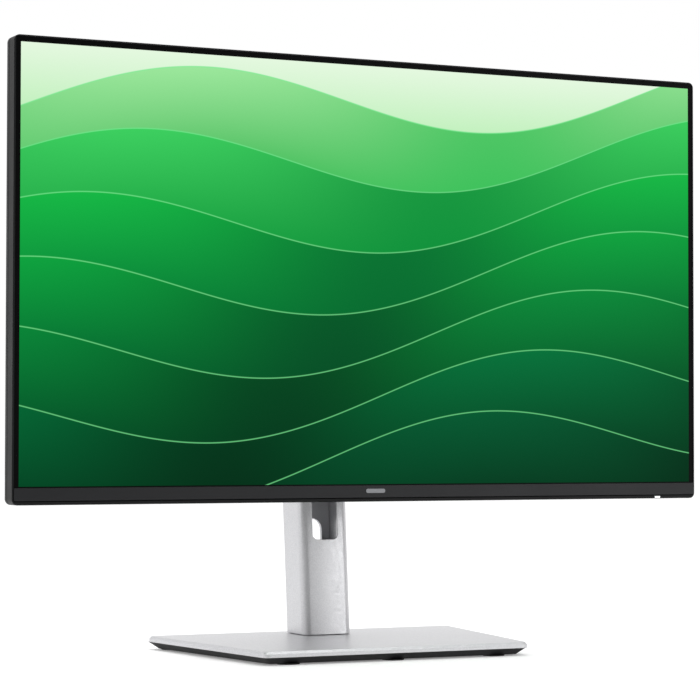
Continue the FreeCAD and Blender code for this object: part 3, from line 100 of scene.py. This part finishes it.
# adds a node; an input is a value or another node's output socket
def addNode(tree, kind, settings=None, inputs=None):
    fullName = kind.startswith(("GeometryNode", "FunctionNode", "NodeGroup"))
    node = tree.nodes.new(kind if fullName else "ShaderNode" + kind)
    for key, value in (settings or {}).items():
        setattr(node, key, value)
    for key, value in (inputs or {}).items():
        socket = node.inputs[key]
        if isinstance(value, bpy.types.NodeSocket):
            tree.links.new(value, socket)
        else:
            socket.default_value = value
    return node


def setTones(ramp, tones):
    while len(ramp.elements) < len(tones):
        ramp.elements.new(1.0)
    for element, (place, code) in zip(ramp.elements, tones):
        element.position = place
        element.color = linear(code)


# a Principled material with its plain values on the shader's own sockets
def newMaterial(name, roughness, metallic=0.0, ior=1.5, **sockets):
    material = bpy.data.materials.new(name)
    material.use_nodes = True
    tree = material.node_tree
    shader = tree.nodes["Principled BSDF"]
    shader.inputs["Roughness"].default_value = roughness
    shader.inputs["Metallic"].default_value = metallic
    shader.inputs["IOR"].default_value = ior
    for key, value in sockets.items():
        shader.inputs[key].default_value = value
    return material, tree, shader


# a grained surface: how much the fine and the broad noise count, and where the tones and the gloss end
grainMix = {"fine": 0.6, "broad": 0.4, "toneLow": 0.36, "toneHigh": 0.64, "glossLow": 0.35,
            "glossHigh": 0.65, "leastRoughness": 0.02, "lift": 0.7}


# two tones that drift over the surface, with a grain that lifts it by a height and varies its gloss, in mm
def grained(name, light, dark, roughness, grain, height, drift=45.0, stretch=(1, 1, 1), spread=0.08, **more):
    material, tree, shader = newMaterial(name, roughness, **more)
    where = addNode(tree, "TexCoord").outputs["Object"]
    placed = addNode(tree, "Mapping", inputs={"Vector": where, "Scale": stretch})
    fine = addNode(tree, "TexNoise",
                   inputs={"Vector": placed.outputs[0], "Scale": 1 / (grain * mm), "Detail": 3.0})
    broad = addNode(tree, "TexNoise", inputs={"Vector": where, "Scale": 1 / (drift * mm), "Detail": 2.0})
    slow = addNode(tree, "Math", {"operation": "MULTIPLY"}, {0: broad.outputs[0], 1: grainMix["broad"]})
    both = addNode(tree, "Math", {"operation": "MULTIPLY_ADD"},
                   {0: fine.outputs[0], 1: grainMix["fine"], 2: slow.outputs[0]})
    tones = addNode(tree, "ValToRGB", inputs={"Fac": both.outputs[0]})
    setTones(tones.color_ramp, [(grainMix["toneLow"], dark), (grainMix["toneHigh"], light)])
    tree.links.new(tones.outputs["Color"], shader.inputs["Base Color"])
    smoothest, dullest = max(grainMix["leastRoughness"], roughness - spread), min(1.0, roughness + spread)
    gloss = addNode(tree, "MapRange", inputs={"Value": both.outputs[0], "From Min": grainMix["glossLow"],
                                              "From Max": grainMix["glossHigh"], "To Min": smoothest,
                                              "To Max": dullest})
    tree.links.new(gloss.outputs[0], shader.inputs["Roughness"])
    bump = addNode(tree, "Bump", inputs={"Height": fine.outputs[0], "Distance": height * mm,
                                         "Strength": grainMix["lift"]})
    tree.links.new(bump.outputs[0], shader.inputs["Normal"])
    return material


# satin flake paint: each flake catches the light a little differently, under a lacquer with faint orange
# peel; sizes in mm
paintShape = {"metallic": 0.72, "peel": 2.4, "relief": 0.02, "darkEnd": 0.15, "lightEnd": 0.85,
              "peelLow": 0.3, "peelHigh": 0.7, "smoother": 0.04, "rougher": 0.06, "flakeLift": 0.35,
              "peelLift": 0.3}


def flakePaint(name, light, dark, roughness, flake):
    shape = paintShape
    material, tree, shader = newMaterial(name, roughness, metallic=shape["metallic"])
    where = addNode(tree, "TexCoord").outputs["Object"]
    flakes = addNode(tree, "TexVoronoi", inputs={"Vector": where, "Scale": 1 / (flake * mm)})
    peel = addNode(tree, "TexNoise",
                   inputs={"Vector": where, "Scale": 1 / (shape["peel"] * mm), "Detail": 2.0})
    tones = addNode(tree, "ValToRGB", inputs={"Fac": flakes.outputs["Color"]})
    setTones(tones.color_ramp, [(shape["darkEnd"], dark), (shape["lightEnd"], light)])
    tree.links.new(tones.outputs["Color"], shader.inputs["Base Color"])
    gloss = addNode(tree, "MapRange", inputs={"Value": peel.outputs[0], "From Min": shape["peelLow"],
                                              "From Max": shape["peelHigh"],
                                              "To Min": roughness - shape["smoother"],
                                              "To Max": roughness + shape["rougher"]})
    tree.links.new(gloss.outputs[0], shader.inputs["Roughness"])
    bump = addNode(tree, "Bump", inputs={"Height": flakes.outputs["Distance"],
                                         "Distance": shape["relief"] * mm, "Strength": shape["flakeLift"]})
    lacquer = addNode(tree, "Bump", inputs={"Height": peel.outputs[0], "Distance": shape["relief"] * mm,
                                            "Strength": shape["peelLift"], "Normal": bump.outputs[0]})
    tree.links.new(lacquer.outputs[0], shader.inputs["Normal"])
    return material


# glass-epoxy board under green solder mask: the copper tracks show as lighter lines; the track pitch is in mm
boardShape = {"pitch": 9.0, "scatter": 0.8, "ring": 0.09, "contrast": 11.0, "maskEnd": 0.42,
              "trackStart": 0.55, "relief": 0.5, "lift": 0.4}


def circuitBoard(name):
    shape = boardShape
    material, tree, shader = newMaterial(name, 0.32, ior=1.5)
    where = addNode(tree, "TexCoord").outputs["Object"]
    tracks = addNode(tree, "TexVoronoi", {"distance": "MANHATTAN", "feature": "F1"},
                     {"Vector": where, "Scale": 1 / (shape["pitch"] * mm), "Randomness": shape["scatter"]})
    rings = addNode(tree, "Math", {"operation": "PINGPONG"},
                    {0: tracks.outputs["Distance"], 1: shape["ring"]})
    clear = addNode(tree, "Math", {"operation": "MULTIPLY"}, {0: rings.outputs[0], 1: shape["contrast"]})
    tones = addNode(tree, "ValToRGB", inputs={"Fac": clear.outputs[0]})
    setTones(tones.color_ramp, [(shape["maskEnd"], "#0b4a26"), (shape["trackStart"], "#1c7040")])
    tree.links.new(tones.outputs["Color"], shader.inputs["Base Color"])
    bump = addNode(tree, "Bump", inputs={"Height": rings.outputs[0], "Distance": shape["relief"] * mm,
                                         "Strength": shape["lift"]})
    tree.links.new(bump.outputs[0], shader.inputs["Normal"])
    return material


# flat cable: parallel conductors a pitch (mm) apart under a clear skin; a wave texture repeats 20 / tau times
# in each unit of its scale
cableShape = {"perUnit": 0.314, "relief": 0.3, "lift": 0.6}


def striped(name, first, second, pitch, roughness, axis):
    material, tree, shader = newMaterial(name, roughness)
    where = addNode(tree, "TexCoord").outputs["Object"]
    lines = addNode(tree, "TexWave", {"bands_direction": axis},
                    {"Vector": where, "Scale": cableShape["perUnit"] / (pitch * mm)})
    tones = addNode(tree, "ValToRGB", inputs={"Fac": lines.outputs["Fac"]})
    setTones(tones.color_ramp, [(0.0, first), (1.0, second)])
    tree.links.new(tones.outputs["Color"], shader.inputs["Base Color"])
    bump = addNode(tree, "Bump", inputs={"Height": lines.outputs["Fac"],
                                         "Distance": cableShape["relief"] * mm,
                                         "Strength": cableShape["lift"]})
    tree.links.new(bump.outputs[0], shader.inputs["Normal"])
    return material


# frosted acrylic light pipe with the power light behind it: white, and a little uneven
def lightPipe(name, grain):
    material, tree, shader = newMaterial(name, 0.35)
    where = addNode(tree, "TexCoord").outputs["Object"]
    frost = addNode(tree, "TexNoise", inputs={"Vector": where, "Scale": 1 / (grain * mm)})
    glow = addNode(tree, "ValToRGB", inputs={"Fac": frost.outputs[0]})
    setTones(glow.color_ramp, [(0.3, "#dfe6ea"), (0.7, "#ffffff")])
    for socketName in ("Base Color", "Emission Color"):
        tree.links.new(glow.outputs["Color"], shader.inputs[socketName])
    shader.inputs["Emission Strength"].default_value = 1.0
    return material


# the picture on the lit screen: plain green waves, one in front of another, drawn from sines alone;
# lengths are shares of the picture's height, from its lower left corner
screenPicture = {"width": 0.52704, "height": 0.29646, "middle": 0.2707, "top": 0.93, "step": 0.142,
                 "slope": 0.07, "swell": 0.085, "length": 1.62, "shift": 0.55, "depth": 0.26,
                 "sheen": 0.85, "rim": 0.0016, "rimShare": 0.7, "blur": 0.0012}
skyTones = [(0.6, "#4fd66c"), (0.8, "#b4eeb0"), (1.0, "#e4f8df")]
# the crest, the foot and the shaded dip of each wave, from the back to the front
waveTones = [("#9ce79c", "#19b548", "#2fbf55"), ("#3ccf5f", "#079a3a", "#008a36"),
             ("#14b845", "#007a35", "#00602c"), ("#0aa33e", "#00602e", "#004021"),
             ("#058a39", "#004a26", "#002c17"), ("#00723a", "#00381e", "#00210f"),
             ("#005a31", "#002914", "#001a0b")]
waveRim = "#7cec96"


# anti-glare film over the lit panel: the picture glows and the film only dulls what it mirrors
def litPanel(name):
    material, tree, shader = newMaterial(name, 0.42, ior=1.5,
                                         **{"Base Color": linear("#020303"), "Specular IOR Level": 0.02})
    shape = screenPicture
    high = shape["height"]
    corner = Vector((-shape["width"] / 2, 0.0, shape["middle"] - high / 2))
    where = addNode(tree, "TexCoord").outputs["Object"]
    placed = addNode(tree, "Mapping", inputs={"Vector": where, "Location": -corner / high,
                                              "Scale": (1 / high, 1 / high, 1 / high)})
    split = addNode(tree, "SeparateXYZ", inputs={0: placed.outputs[0]})
    across, up = split.outputs["X"], split.outputs["Z"]
    sky = addNode(tree, "ValToRGB", inputs={"Fac": up})
    setTones(sky.color_ramp, skyTones)
    colour = sky.outputs["Color"]
    for turn, (crest, foot, shade) in enumerate(waveTones):
        angle = addNode(tree, "Math", {"operation": "MULTIPLY_ADD"},
                        {0: across, 1: math.tau / shape["length"], 2: shape["shift"] * turn})
        bend = addNode(tree, "Math", {"operation": "SINE"}, {0: angle.outputs[0]})
        line = addNode(tree, "Math", {"operation": "MULTIPLY_ADD"},
                       {0: across, 1: shape["slope"], 2: shape["top"] - shape["step"] * (turn + 0.5)})
        edge = addNode(tree, "Math", {"operation": "MULTIPLY_ADD"},
                       {0: bend.outputs[0], 1: shape["swell"], 2: line.outputs[0]})
        inside = addNode(tree, "Math", {"operation": "SUBTRACT"}, {0: edge.outputs[0], 1: up})
        fall = addNode(tree, "MapRange",
                       inputs={"Value": inside.outputs[0], "From Min": 0.0, "From Max": shape["depth"]})
        tones = addNode(tree, "ValToRGB", inputs={"Fac": fall.outputs[0]})
        setTones(tones.color_ramp, [(0.0, crest), (1.0, foot)])
        # each wave is darker where it dips, as a curved sheet turned from the light
        dip = addNode(tree, "MapRange", inputs={"Value": bend.outputs[0], "From Min": 1.0, "From Max": -1.0,
                                                "To Min": 0.0, "To Max": shape["sheen"]})
        shaded = addNode(tree, "Mix", {"data_type": "RGBA"},
                         {0: dip.outputs[0], 6: tones.outputs["Color"], 7: linear(shade)})
        glint = addNode(tree, "MapRange", inputs={"Value": inside.outputs[0], "From Min": shape["rim"],
                                                  "From Max": 2 * shape["rim"], "To Min": shape["rimShare"],
                                                  "To Max": 0.0})
        rimmed = addNode(tree, "Mix", {"data_type": "RGBA"},
                         {0: glint.outputs[0], 6: shaded.outputs[2], 7: linear(waveRim)})
        cover = addNode(tree, "MapRange", inputs={"Value": inside.outputs[0], "From Min": -shape["blur"],
                                                  "From Max": shape["blur"]})
        colour = addNode(tree, "Mix", {"data_type": "RGBA"},
                         {0: cover.outputs[0], 6: colour, 7: rimmed.outputs[2]}).outputs[2]
    tree.links.new(colour, shader.inputs["Emission Color"])
    shader.inputs["Emission Strength"].default_value = 1.0
    return material


# the finishes, by the slot of each CAD piece
finishes = {
    # satin flake paint on steel: pale silver that greys where it faces away from the light
    "silver_paint": flakePaint("satinFlakePaint", "#d6d6d8", "#c2c2c5", 0.34, 0.35),
    # moulded ABS painted to match the steel, a little flatter
    "silver_plastic": grained("silverPaintedAbs", "#c9c9cc", "#bdbdc1", 0.42, 0.5, 0.01, metallic=0.45),
    # spark-eroded black ABS: a fine even pebble that kills the shine
    "black_plastic": grained("sparkTexturedAbs", "#151618", "#0e0f10", 0.6, 0.7, 0.05, spread=0.07,
                              **{"Specular IOR Level": 0.35}),
    # charcoal ABS, satin moulded
    "charcoal_plastic": grained("satinCharcoalAbs", "#101115", "#0d0e11", 0.42, 0.6, 0.012,
                                 **{"Specular IOR Level": 0.3}),
    # the same ABS in a deeper black for the frame round the panel: flat, so the edge stays quiet
    "frame_plastic": grained("satinFrameAbs", "#0b0c0e", "#090a0b", 0.5, 0.6, 0.012,
                             **{"Specular IOR Level": 0.18}),
    # vulcanised rubber: dull, with a dusty bloom
    "rubber": grained("mouldedRubber", "#1d1d1c", "#131312", 0.82, 0.9, 0.04),
    # ground spring steel: bright, with a fine grain drawn out along one way
    "steel": grained("groundSpringSteel", "#a9abad", "#8f9194", 0.28, 0.4, 0.004, metallic=1.0,
                     stretch=(1, 1, 14)),
    # bright zinc: cool grey with faint yellow spangles
    "zinc_steel": grained("zincPlatedSteel", "#b0b1ae", "#a4a6a4", 0.36, 3.0, 0.004, metallic=1.0,
                          drift=12.0, spread=0.03),
    # phosphated steel: dark grey, nearly matt, with a faint crystal grain
    "black_steel": grained("phosphatedSteel", "#2b2b2c", "#1e1e1f", 0.5, 0.8, 0.01, metallic=0.8),
    # die-cast aluminium: pale, with the soft flow marks of the mould
    "aluminium": grained("diecastAluminium", "#b9bbbd", "#a2a4a7", 0.36, 1.2, 0.02, metallic=1.0),
    # moulded acetal: milky white and waxy
    "acetal": grained("mouldedAcetal", "#e6e5df", "#dcdbd4", 0.36, 0.8, 0.006),
    # cast acrylic sheet: nearly mirror smooth, with a cool edge
    "acrylic": grained("castAcrylic", "#e9f1f2", "#dfe9eb", 0.08, 2.0, 0.001, ior=1.49, spread=0.03),
    # black border ink behind clear cover film
    "screen_glass": grained("inkedPanelGlass", "#030304", "#020202", 0.4, 1.0, 0.001, ior=1.52, spread=0.03,
                            **{"Specular IOR Level": 0.05}),
    # diffuser film: even white that scatters the light
    "white_film": grained("whiteDiffuserFilm", "#f0f0ee", "#e8e8e6", 0.5, 0.4, 0.004),
    # glossy green solder mask over copper tracks
    "board_green": circuitBoard("solderMaskedBoard"),
    # glass-filled nylon: dark and dry, with fibres that just break the surface
    "parts_black": grained("glassFilledNylon", "#1a1a1b", "#121213", 0.52, 0.5, 0.02),
    # flat flexible cable: off-white, with grey conductors that show through
    "cable": striped("flatFlexCable", "#e9e9e6", "#b9bcc0", 1.0, 0.4, "X"),
    # nickelled brass pins: warm metal, drawn along their length
    "brass": grained("nickelledBrass", "#c9bfa4", "#b5aa8c", 0.28, 0.6, 0.003, metallic=1.0,
                     stretch=(1, 1, 8)),
    "screen_film": litPanel("litPanelFilm"),
    "light_pipe": lightPipe("frostedLightPipe", 0.8),
}
print("finishes made:", len(finishes))


def dressNode(name, material):
    mesh = nodes[name].data
    if not mesh.materials:
        mesh.materials.append(material)
    for place in range(len(mesh.materials)):
        mesh.materials[place] = material


for name, slotName in slotOf.items():
    dressNode(name, finishes[slotName])

# the plain bar on the chin is a printed mark: mid grey, with none of the paint's flakes
printedGrey = grained("printedGreyInk", "#8b8c90", "#808185", 0.5, 0.4, 0.003)


def placePiece(piece, body, slotName, *replaced):
    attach(piece, body)
    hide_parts(*replaced)
    print("piece:", piece.name)


# bakes the modifiers into one plain mesh with one material, and clears the tools away
def finished(piece, material, *tools):
    bpy.context.view_layer.update()
    result = bpy.data.meshes.new_from_object(piece.evaluated_get(bpy.context.evaluated_depsgraph_get()))
    piece.modifiers.clear()
    piece.data = result
    result.materials.clear()
    result.materials.append(material)
    for tool in tools:
        bpy.data.objects.remove(tool)
    return piece


# rounds every edge that turns by more than 40 degrees, in two steps, and keeps the flats flat
def softenEdges(piece, radius):
    rounding = piece.modifiers.new("edges", "BEVEL")
    rounding.width = radius * mm
    rounding.segments = 2
    rounding.limit_method = "ANGLE"
    rounding.angle_limit = math.radians(40)
    levelling = piece.modifiers.new("normals", "WEIGHTED_NORMAL")
    levelling.weight = 100
    levelling.keep_sharp = True


# pieces made again from their CAD shape, with the soft edges that moulds and presses leave
softEdges = {
    # each piece, the radius of its edges in mm, and its body
    "column_rear_cover": (0.35, "column"),
    "column_top_cap": (0.3, "column"),
    "base_top_plate": (0.25, "base"),
    "base_undertray": (0.3, "base"),
    "hinge_cover": (0.3, "tilt_head"),
    "middle_frame": (0.25, "display"),
    "chin_strip": (0.22, "display"),
    "chin_badge": (0.06, "display"),
    "rear_cover": (0.3, "display"),
    "stand_plate": (0.3, "display"),
}


def softened(name, radius):
    source = nodes[name].data
    work = bmesh.new()
    work.from_mesh(source)
    bmesh.ops.remove_doubles(work, verts=work.verts, dist=1e-6)
    bmesh.ops.dissolve_limit(work, angle_limit=math.radians(1.0), verts=work.verts, edges=work.edges)
    mesh = bpy.data.meshes.new(name + "_soft")
    work.to_mesh(mesh)
    work.free()
    mesh.shade_smooth()
    mesh.set_sharp_from_angle(angle=math.radians(60))
    piece = bpy.data.objects.new(name + "_soft", mesh)
    bpy.context.scene.collection.objects.link(piece)
    softenEdges(piece, radius)
    return finished(piece, finishes[slotOf[name]])


for name, (radius, body) in softEdges.items():
    placePiece(softened(name, radius), body, slotOf[name], name)
bpy.data.objects["chin_badge_soft"].data.materials[0] = printedGrey


# the column: a crowned front, rounded corners and the long slot that the arm rides in;
# lengths in mm, angles in degrees; the axis is the tilt shaft's middle, and a cutter overshoots by over
columnShape = {"width": 39.0, "depth": 32.2, "crown": 0.8, "frontCorner": 6.0, "rearCorner": 1.4,
               "wall": 2.2, "innerCorner": 4.0, "lean": 5.0, "reach": 39.5, "drop": 266.0, "rise": 93.4,
               "slotWidth": 20.0, "slotDrop": 189.8, "slotCorner": 4.0, "edge": 0.35, "over": 5.0,
               "axis": (0.0, 26.0, 270.7),
               "bowSteps": 16, "frontSteps": 10, "rearSteps": 4, "innerSteps": 5, "slotSteps": 6}


# points round an arc in mm, angles in degrees
def arcPoints(centre, radius, start, end, steps):
    turns = [math.radians(start + (end - start) * n / steps) for n in range(steps + 1)]
    return [(centre[0] + radius * math.cos(t), centre[1] + radius * math.sin(t)) for t in turns]


# the column's outline seen from above, front towards -Y, anticlockwise
def crownedProfile(shape):
    half, deep, crown = shape["width"] / 2, shape["depth"] / 2, shape["crown"]
    radius = (half ** 2 + crown ** 2) / (2 * crown)
    corner, rear = shape["frontCorner"], shape["rearCorner"]
    bowCentre = (0.0, radius - deep)
    inner = radius - corner         # the corner's centre lies on this circle round the bow's centre
    cornerX = half - corner
    cornerY = bowCentre[1] - math.sqrt(inner ** 2 - cornerX ** 2)
    lean = math.degrees(math.atan2(cornerX, bowCentre[1] - cornerY))
    right = arcPoints((cornerX, cornerY), corner, -90 + lean, 0, shape["frontSteps"])
    bow = arcPoints(bowCentre, radius, -90 - lean, -90 + lean, shape["bowSteps"])
    left = arcPoints((-cornerX, cornerY), corner, -180, -90 - lean, shape["frontSteps"])
    backRight = arcPoints((half - rear, deep - rear), rear, 0, 90, shape["rearSteps"])
    backLeft = arcPoints((-half + rear, deep - rear), rear, 90, 180, shape["rearSteps"])
    return bow + right[1:] + backRight + backLeft + left[:-1]


# a closed prism over an outline in mm, from one height to another
def prismMesh(outline, low, high):
    work = bmesh.new()
    bottom = [work.verts.new((x, y, low)) for x, y in outline]
    top = [work.verts.new((x, y, high)) for x, y in outline]
    work.faces.new(list(reversed(bottom)))
    work.faces.new(top)
    for n in range(len(outline)):
        after = (n + 1) % len(outline)
        work.faces.new((bottom[n], bottom[after], top[after], top[n]))
    return work


def toObject(work, name):
    mesh = bpy.data.meshes.new(name)
    work.normal_update()
    work.to_mesh(mesh)
    work.free()
    piece = bpy.data.objects.new(name, mesh)
    bpy.context.scene.collection.objects.link(piece)
    return piece


def carve(piece, tool):
    cutting = piece.modifiers.new("cut", "BOOLEAN")
    cutting.operation = "DIFFERENCE"
    cutting.solver = "EXACT"
    cutting.object = tool


# from the column's own mm frame to the object's metres
def leaning(shape):
    turn = Matrix.Rotation(-math.radians(shape["lean"]), 4, "X")
    behind = Matrix.Translation((0, shape["reach"], 0))
    return Matrix.Scale(mm, 4) @ Matrix.Translation(shape["axis"]) @ turn @ behind


def makeColumn():
    shape = columnShape
    half, deep, wall, over = shape["width"] / 2, shape["depth"] / 2, shape["wall"], shape["over"]
    top, drop = shape["rise"], shape["drop"]
    outer = prismMesh(crownedProfile(shape), -drop, top)
    corner, x = shape["innerCorner"], half - wall
    front, steps = -deep + wall, shape["innerSteps"]
    hollowLine = (arcPoints((-x + corner, front + corner), corner, 180, 270, steps)
                  + arcPoints((x - corner, front + corner), corner, 270, 360, steps)
                  + [(x, deep + over), (-x, deep + over)])
    hollow = prismMesh(hollowLine, -drop - over, top + over)
    slotHalf, low, r = shape["slotWidth"] / 2, -shape["slotDrop"], shape["slotCorner"]
    slotLine = (arcPoints((-slotHalf + r, low + r), r, 180, 270, shape["slotSteps"])
                + arcPoints((slotHalf - r, low + r), r, 270, 360, shape["slotSteps"])
                + [(slotHalf, top + over), (-slotHalf, top + over)])
    slot = prismMesh(slotLine, 0, deep)
    upright = Matrix.Translation((0, -deep / 2, 0)) @ Matrix.Rotation(math.pi / 2, 4, "X")
    bmesh.ops.transform(slot, matrix=upright, verts=slot.verts)
    place = leaning(shape)
    for work in (outer, hollow, slot):
        bmesh.ops.transform(work, matrix=place, verts=work.verts)
        bmesh.ops.recalc_face_normals(work, faces=work.faces)
    # the foot is cut level, where the CAD column ends
    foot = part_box("column_channel")[0].z
    everything = outer.verts[:] + outer.edges[:] + outer.faces[:]
    ground = bmesh.ops.bisect_plane(outer, geom=everything, dist=1e-7, plane_co=(0, 0, foot),
                                    plane_no=(0, 0, 1), clear_inner=True)
    rim = [part for part in ground["geom_cut"] if isinstance(part, bmesh.types.BMEdge)]
    bmesh.ops.contextual_create(outer, geom=rim)
    bmesh.ops.recalc_face_normals(outer, faces=outer.faces)
    column = toObject(outer, "column_channel_soft")
    tools = [toObject(hollow, "hollow"), toObject(slot, "slot")]
    for tool in tools:
        carve(column, tool)
    column.data.shade_smooth()
    softenEdges(column, shape["edge"])
    finished(column, finishes["silver_paint"], *tools)
    placePiece(column, "column", "silver_paint", "column_channel")


makeColumn()


# screws: one pan head with a six-sided socket, set at every place by one node tree; lengths in mm
screwShape = {"head": 2.8, "headHeight": 1.5, "dome": 0.5, "domeShare": 0.3, "shank": 1.35, "length": 6.4,
              "tip": 0.5, "tipShare": 0.7, "socket": 1.15, "socketDepth": 0.9, "over": 1.0, "steps": 24,
              "size": 0.995}


def screwMaster():
    shape = screwShape
    rise, head, dome, shank = shape["headHeight"], shape["head"], shape["dome"], shape["shank"]
    easing = dome * shape["domeShare"]
    line = [(0, -shape["length"]), (shank * shape["tipShare"], -shape["length"]),
            (shank, -shape["length"] + shape["tip"]), (shank, 0), (head, 0), (head, rise - dome),
            (head - easing, rise - easing), (head - dome, rise), (0, rise)]
    work = bmesh.new()
    profile = [work.verts.new((x * mm, 0, z * mm)) for x, z in line]
    spine = [work.edges.new(pair) for pair in zip(profile, profile[1:])]
    bmesh.ops.spin(work, geom=profile + spine, cent=(0, 0, 0), axis=(0, 0, 1), angle=math.tau,
                   steps=shape["steps"], use_merge=True)
    bmesh.ops.remove_doubles(work, verts=work.verts, dist=1e-7)
    bmesh.ops.recalc_face_normals(work, faces=work.faces)
    master = toObject(work, "screwMaster")
    sides = arcPoints((0, 0), shape["socket"], 0, 300, 5)
    tool = prismMesh(sides, rise - shape["socketDepth"], rise + shape["over"])
    bmesh.ops.scale(tool, vec=(mm, mm, mm), verts=tool.verts)
    socketTool = toObject(tool, "screwSocket")
    carve(master, socketTool)
    finished(master, finishes["zinc_steel"], socketTool)
    return master


# sets a master on every vertex, turned to the vertex's own direction
def screwTree():
    tree = bpy.data.node_groups.new("screwsOnPoints", "GeometryNodeTree")
    faces = tree.interface
    faces.new_socket("Places", in_out="INPUT", socket_type="NodeSocketGeometry")
    faces.new_socket("Master", in_out="INPUT", socket_type="NodeSocketObject")
    faces.new_socket("Size", in_out="INPUT", socket_type="NodeSocketFloat").default_value = 1.0
    faces.new_socket("Finish", in_out="INPUT", socket_type="NodeSocketMaterial")
    faces.new_socket("Screws", in_out="OUTPUT", socket_type="NodeSocketGeometry")
    start, end = addNode(tree, "NodeGroupInput"), addNode(tree, "NodeGroupOutput")
    master = addNode(tree, "GeometryNodeObjectInfo", inputs={"Object": start.outputs["Master"]})
    facing = addNode(tree, "GeometryNodeInputNamedAttribute", {"data_type": "FLOAT_VECTOR"},
                     {"Name": "facing"})
    turned = addNode(tree, "FunctionNodeAlignRotationToVector", {"axis": "Z"},
                     {"Vector": facing.outputs["Attribute"]})
    setOn = addNode(tree, "GeometryNodeInstanceOnPoints",
                    inputs={"Points": start.outputs["Places"], "Instance": master.outputs["Geometry"],
                            "Scale": start.outputs["Size"], "Rotation": turned.outputs[0]})
    real = addNode(tree, "GeometryNodeRealizeInstances", inputs={0: setOn.outputs[0]})
    coat = addNode(tree, "GeometryNodeSetMaterial",
                   inputs={"Geometry": real.outputs[0], "Material": start.outputs["Finish"]})
    tree.links.new(coat.outputs[0], end.inputs[0])
    return tree


# the points of each separate solid in a CAD node
def islandsOf(name):
    work = bmesh.new()
    work.from_mesh(nodes[name].data)
    bmesh.ops.remove_doubles(work, verts=work.verts, dist=1e-6)
    seen, islands = set(), []
    for first in work.verts:
        if first in seen:
            continue
        seen.add(first)
        front, island = [first], []
        while front:
            vert = front.pop()
            island.append(vert.co.copy())
            for edge in vert.link_edges:
                other = edge.other_vert(vert)
                if other not in seen:
                    seen.add(other)
                    front.append(other)
        islands.append(island)
    work.free()
    return islands


# screws whose heads face one way, each seated where its CAD solid has its head
def setScrews(name, body, way, tree, master):
    way = Vector(way).normalized()
    rise = screwShape["headHeight"] * mm
    places = []
    for island in islandsOf(name):
        top = max(point.dot(way) for point in island)
        head = [point for point in island if point.dot(way) > top - rise / 2]
        middle = Vector([(min(column) + max(column)) / 2 for column in zip(*head)])
        places.append(middle + way * (top - middle.dot(way) - rise))
    mesh = bpy.data.meshes.new(name + "_set")
    mesh.from_pydata([tuple(p) for p in places], [], [])
    facing = mesh.attributes.new("facing", "FLOAT_VECTOR", "POINT")
    facing.data.foreach_set("vector", [part for _ in places for part in way])
    piece = bpy.data.objects.new(name + "_set", mesh)
    bpy.context.scene.collection.objects.link(piece)
    setting = piece.modifiers.new("screws", "NODES")
    setting.node_group = tree
    socketIds = {item.name: item.identifier for item in tree.interface.items_tree if item.in_out == "INPUT"}
    setting[socketIds["Master"]] = master
    setting[socketIds["Size"]] = screwShape["size"]
    setting[socketIds["Finish"]] = finishes[slotOf[name]]
    finished(piece, finishes[slotOf[name]])
    piece.data.shade_smooth()
    piece.data.set_sharp_from_angle(angle=math.radians(35))
    placePiece(piece, body, slotOf[name], name)


screwsTree, master = screwTree(), screwMaster()
lean = math.radians(columnShape["lean"])
setScrews("rear_cover_screws", "display", (0, 1, 0), screwsTree, master)
setScrews("column_screws", "column", (0, math.cos(lean), -math.sin(lean)), screwsTree, master)
setScrews("base_screws", "base", (0, 0, -1), screwsTree, master)
bpy.data.objects.remove(master)


# floor and world: a pale floor, and a sky that is bright behind the object and dim in front of it; the camera
# sees it plain white
stage = {"side": 8.0, "floorGlow": 0.22, "floorDrift": 200.0, "frontLight": 0.16, "backLight": 1.0,
         "backStart": -0.1, "seenLight": 1.0}


def makeStage():
    side = stage["side"]
    mesh = bpy.data.meshes.new("floor")
    corners = [(-side, -side, 0), (side, -side, 0), (side, side, 0), (-side, side, 0)]
    mesh.from_pydata(corners, [], [(0, 1, 2, 3)])
    floor = bpy.data.objects.new("floor", mesh)
    bpy.context.scene.collection.objects.link(floor)
    glow = {"Emission Color": linear("#ffffff"), "Emission Strength": stage["floorGlow"]}
    mesh.materials.append(grained("whitePaperFloor", "#fafafa", "#f4f4f4", 0.9, 1.5, 0.002,
                                  drift=stage["floorDrift"], **glow))
    world = bpy.data.worlds.new("studio")
    world.use_nodes = True
    tree = world.node_tree
    back = tree.nodes["Background"]
    way = addNode(tree, "SeparateXYZ", inputs={0: addNode(tree, "TexCoord").outputs["Generated"]})
    share = addNode(tree, "MapRange", inputs={"Value": way.outputs["Y"], "From Min": -1.0,
                                              "From Max": stage["backStart"], "To Min": stage["frontLight"],
                                              "To Max": stage["backLight"]})
    seen = addNode(tree, "LightPath")
    level = addNode(tree, "Mix", inputs={"Factor": seen.outputs["Is Camera Ray"], 2: share.outputs[0],
                                         3: stage["seenLight"]})
    tree.links.new(level.outputs[0], back.inputs["Strength"])
    back.inputs["Color"].default_value = (1, 1, 1, 1)
    bpy.context.scene.world = world
    bpy.context.scene.view_settings.view_transform = "Standard"


makeStage()
makeLamps()
makeCamera()
print("stage and camera set")
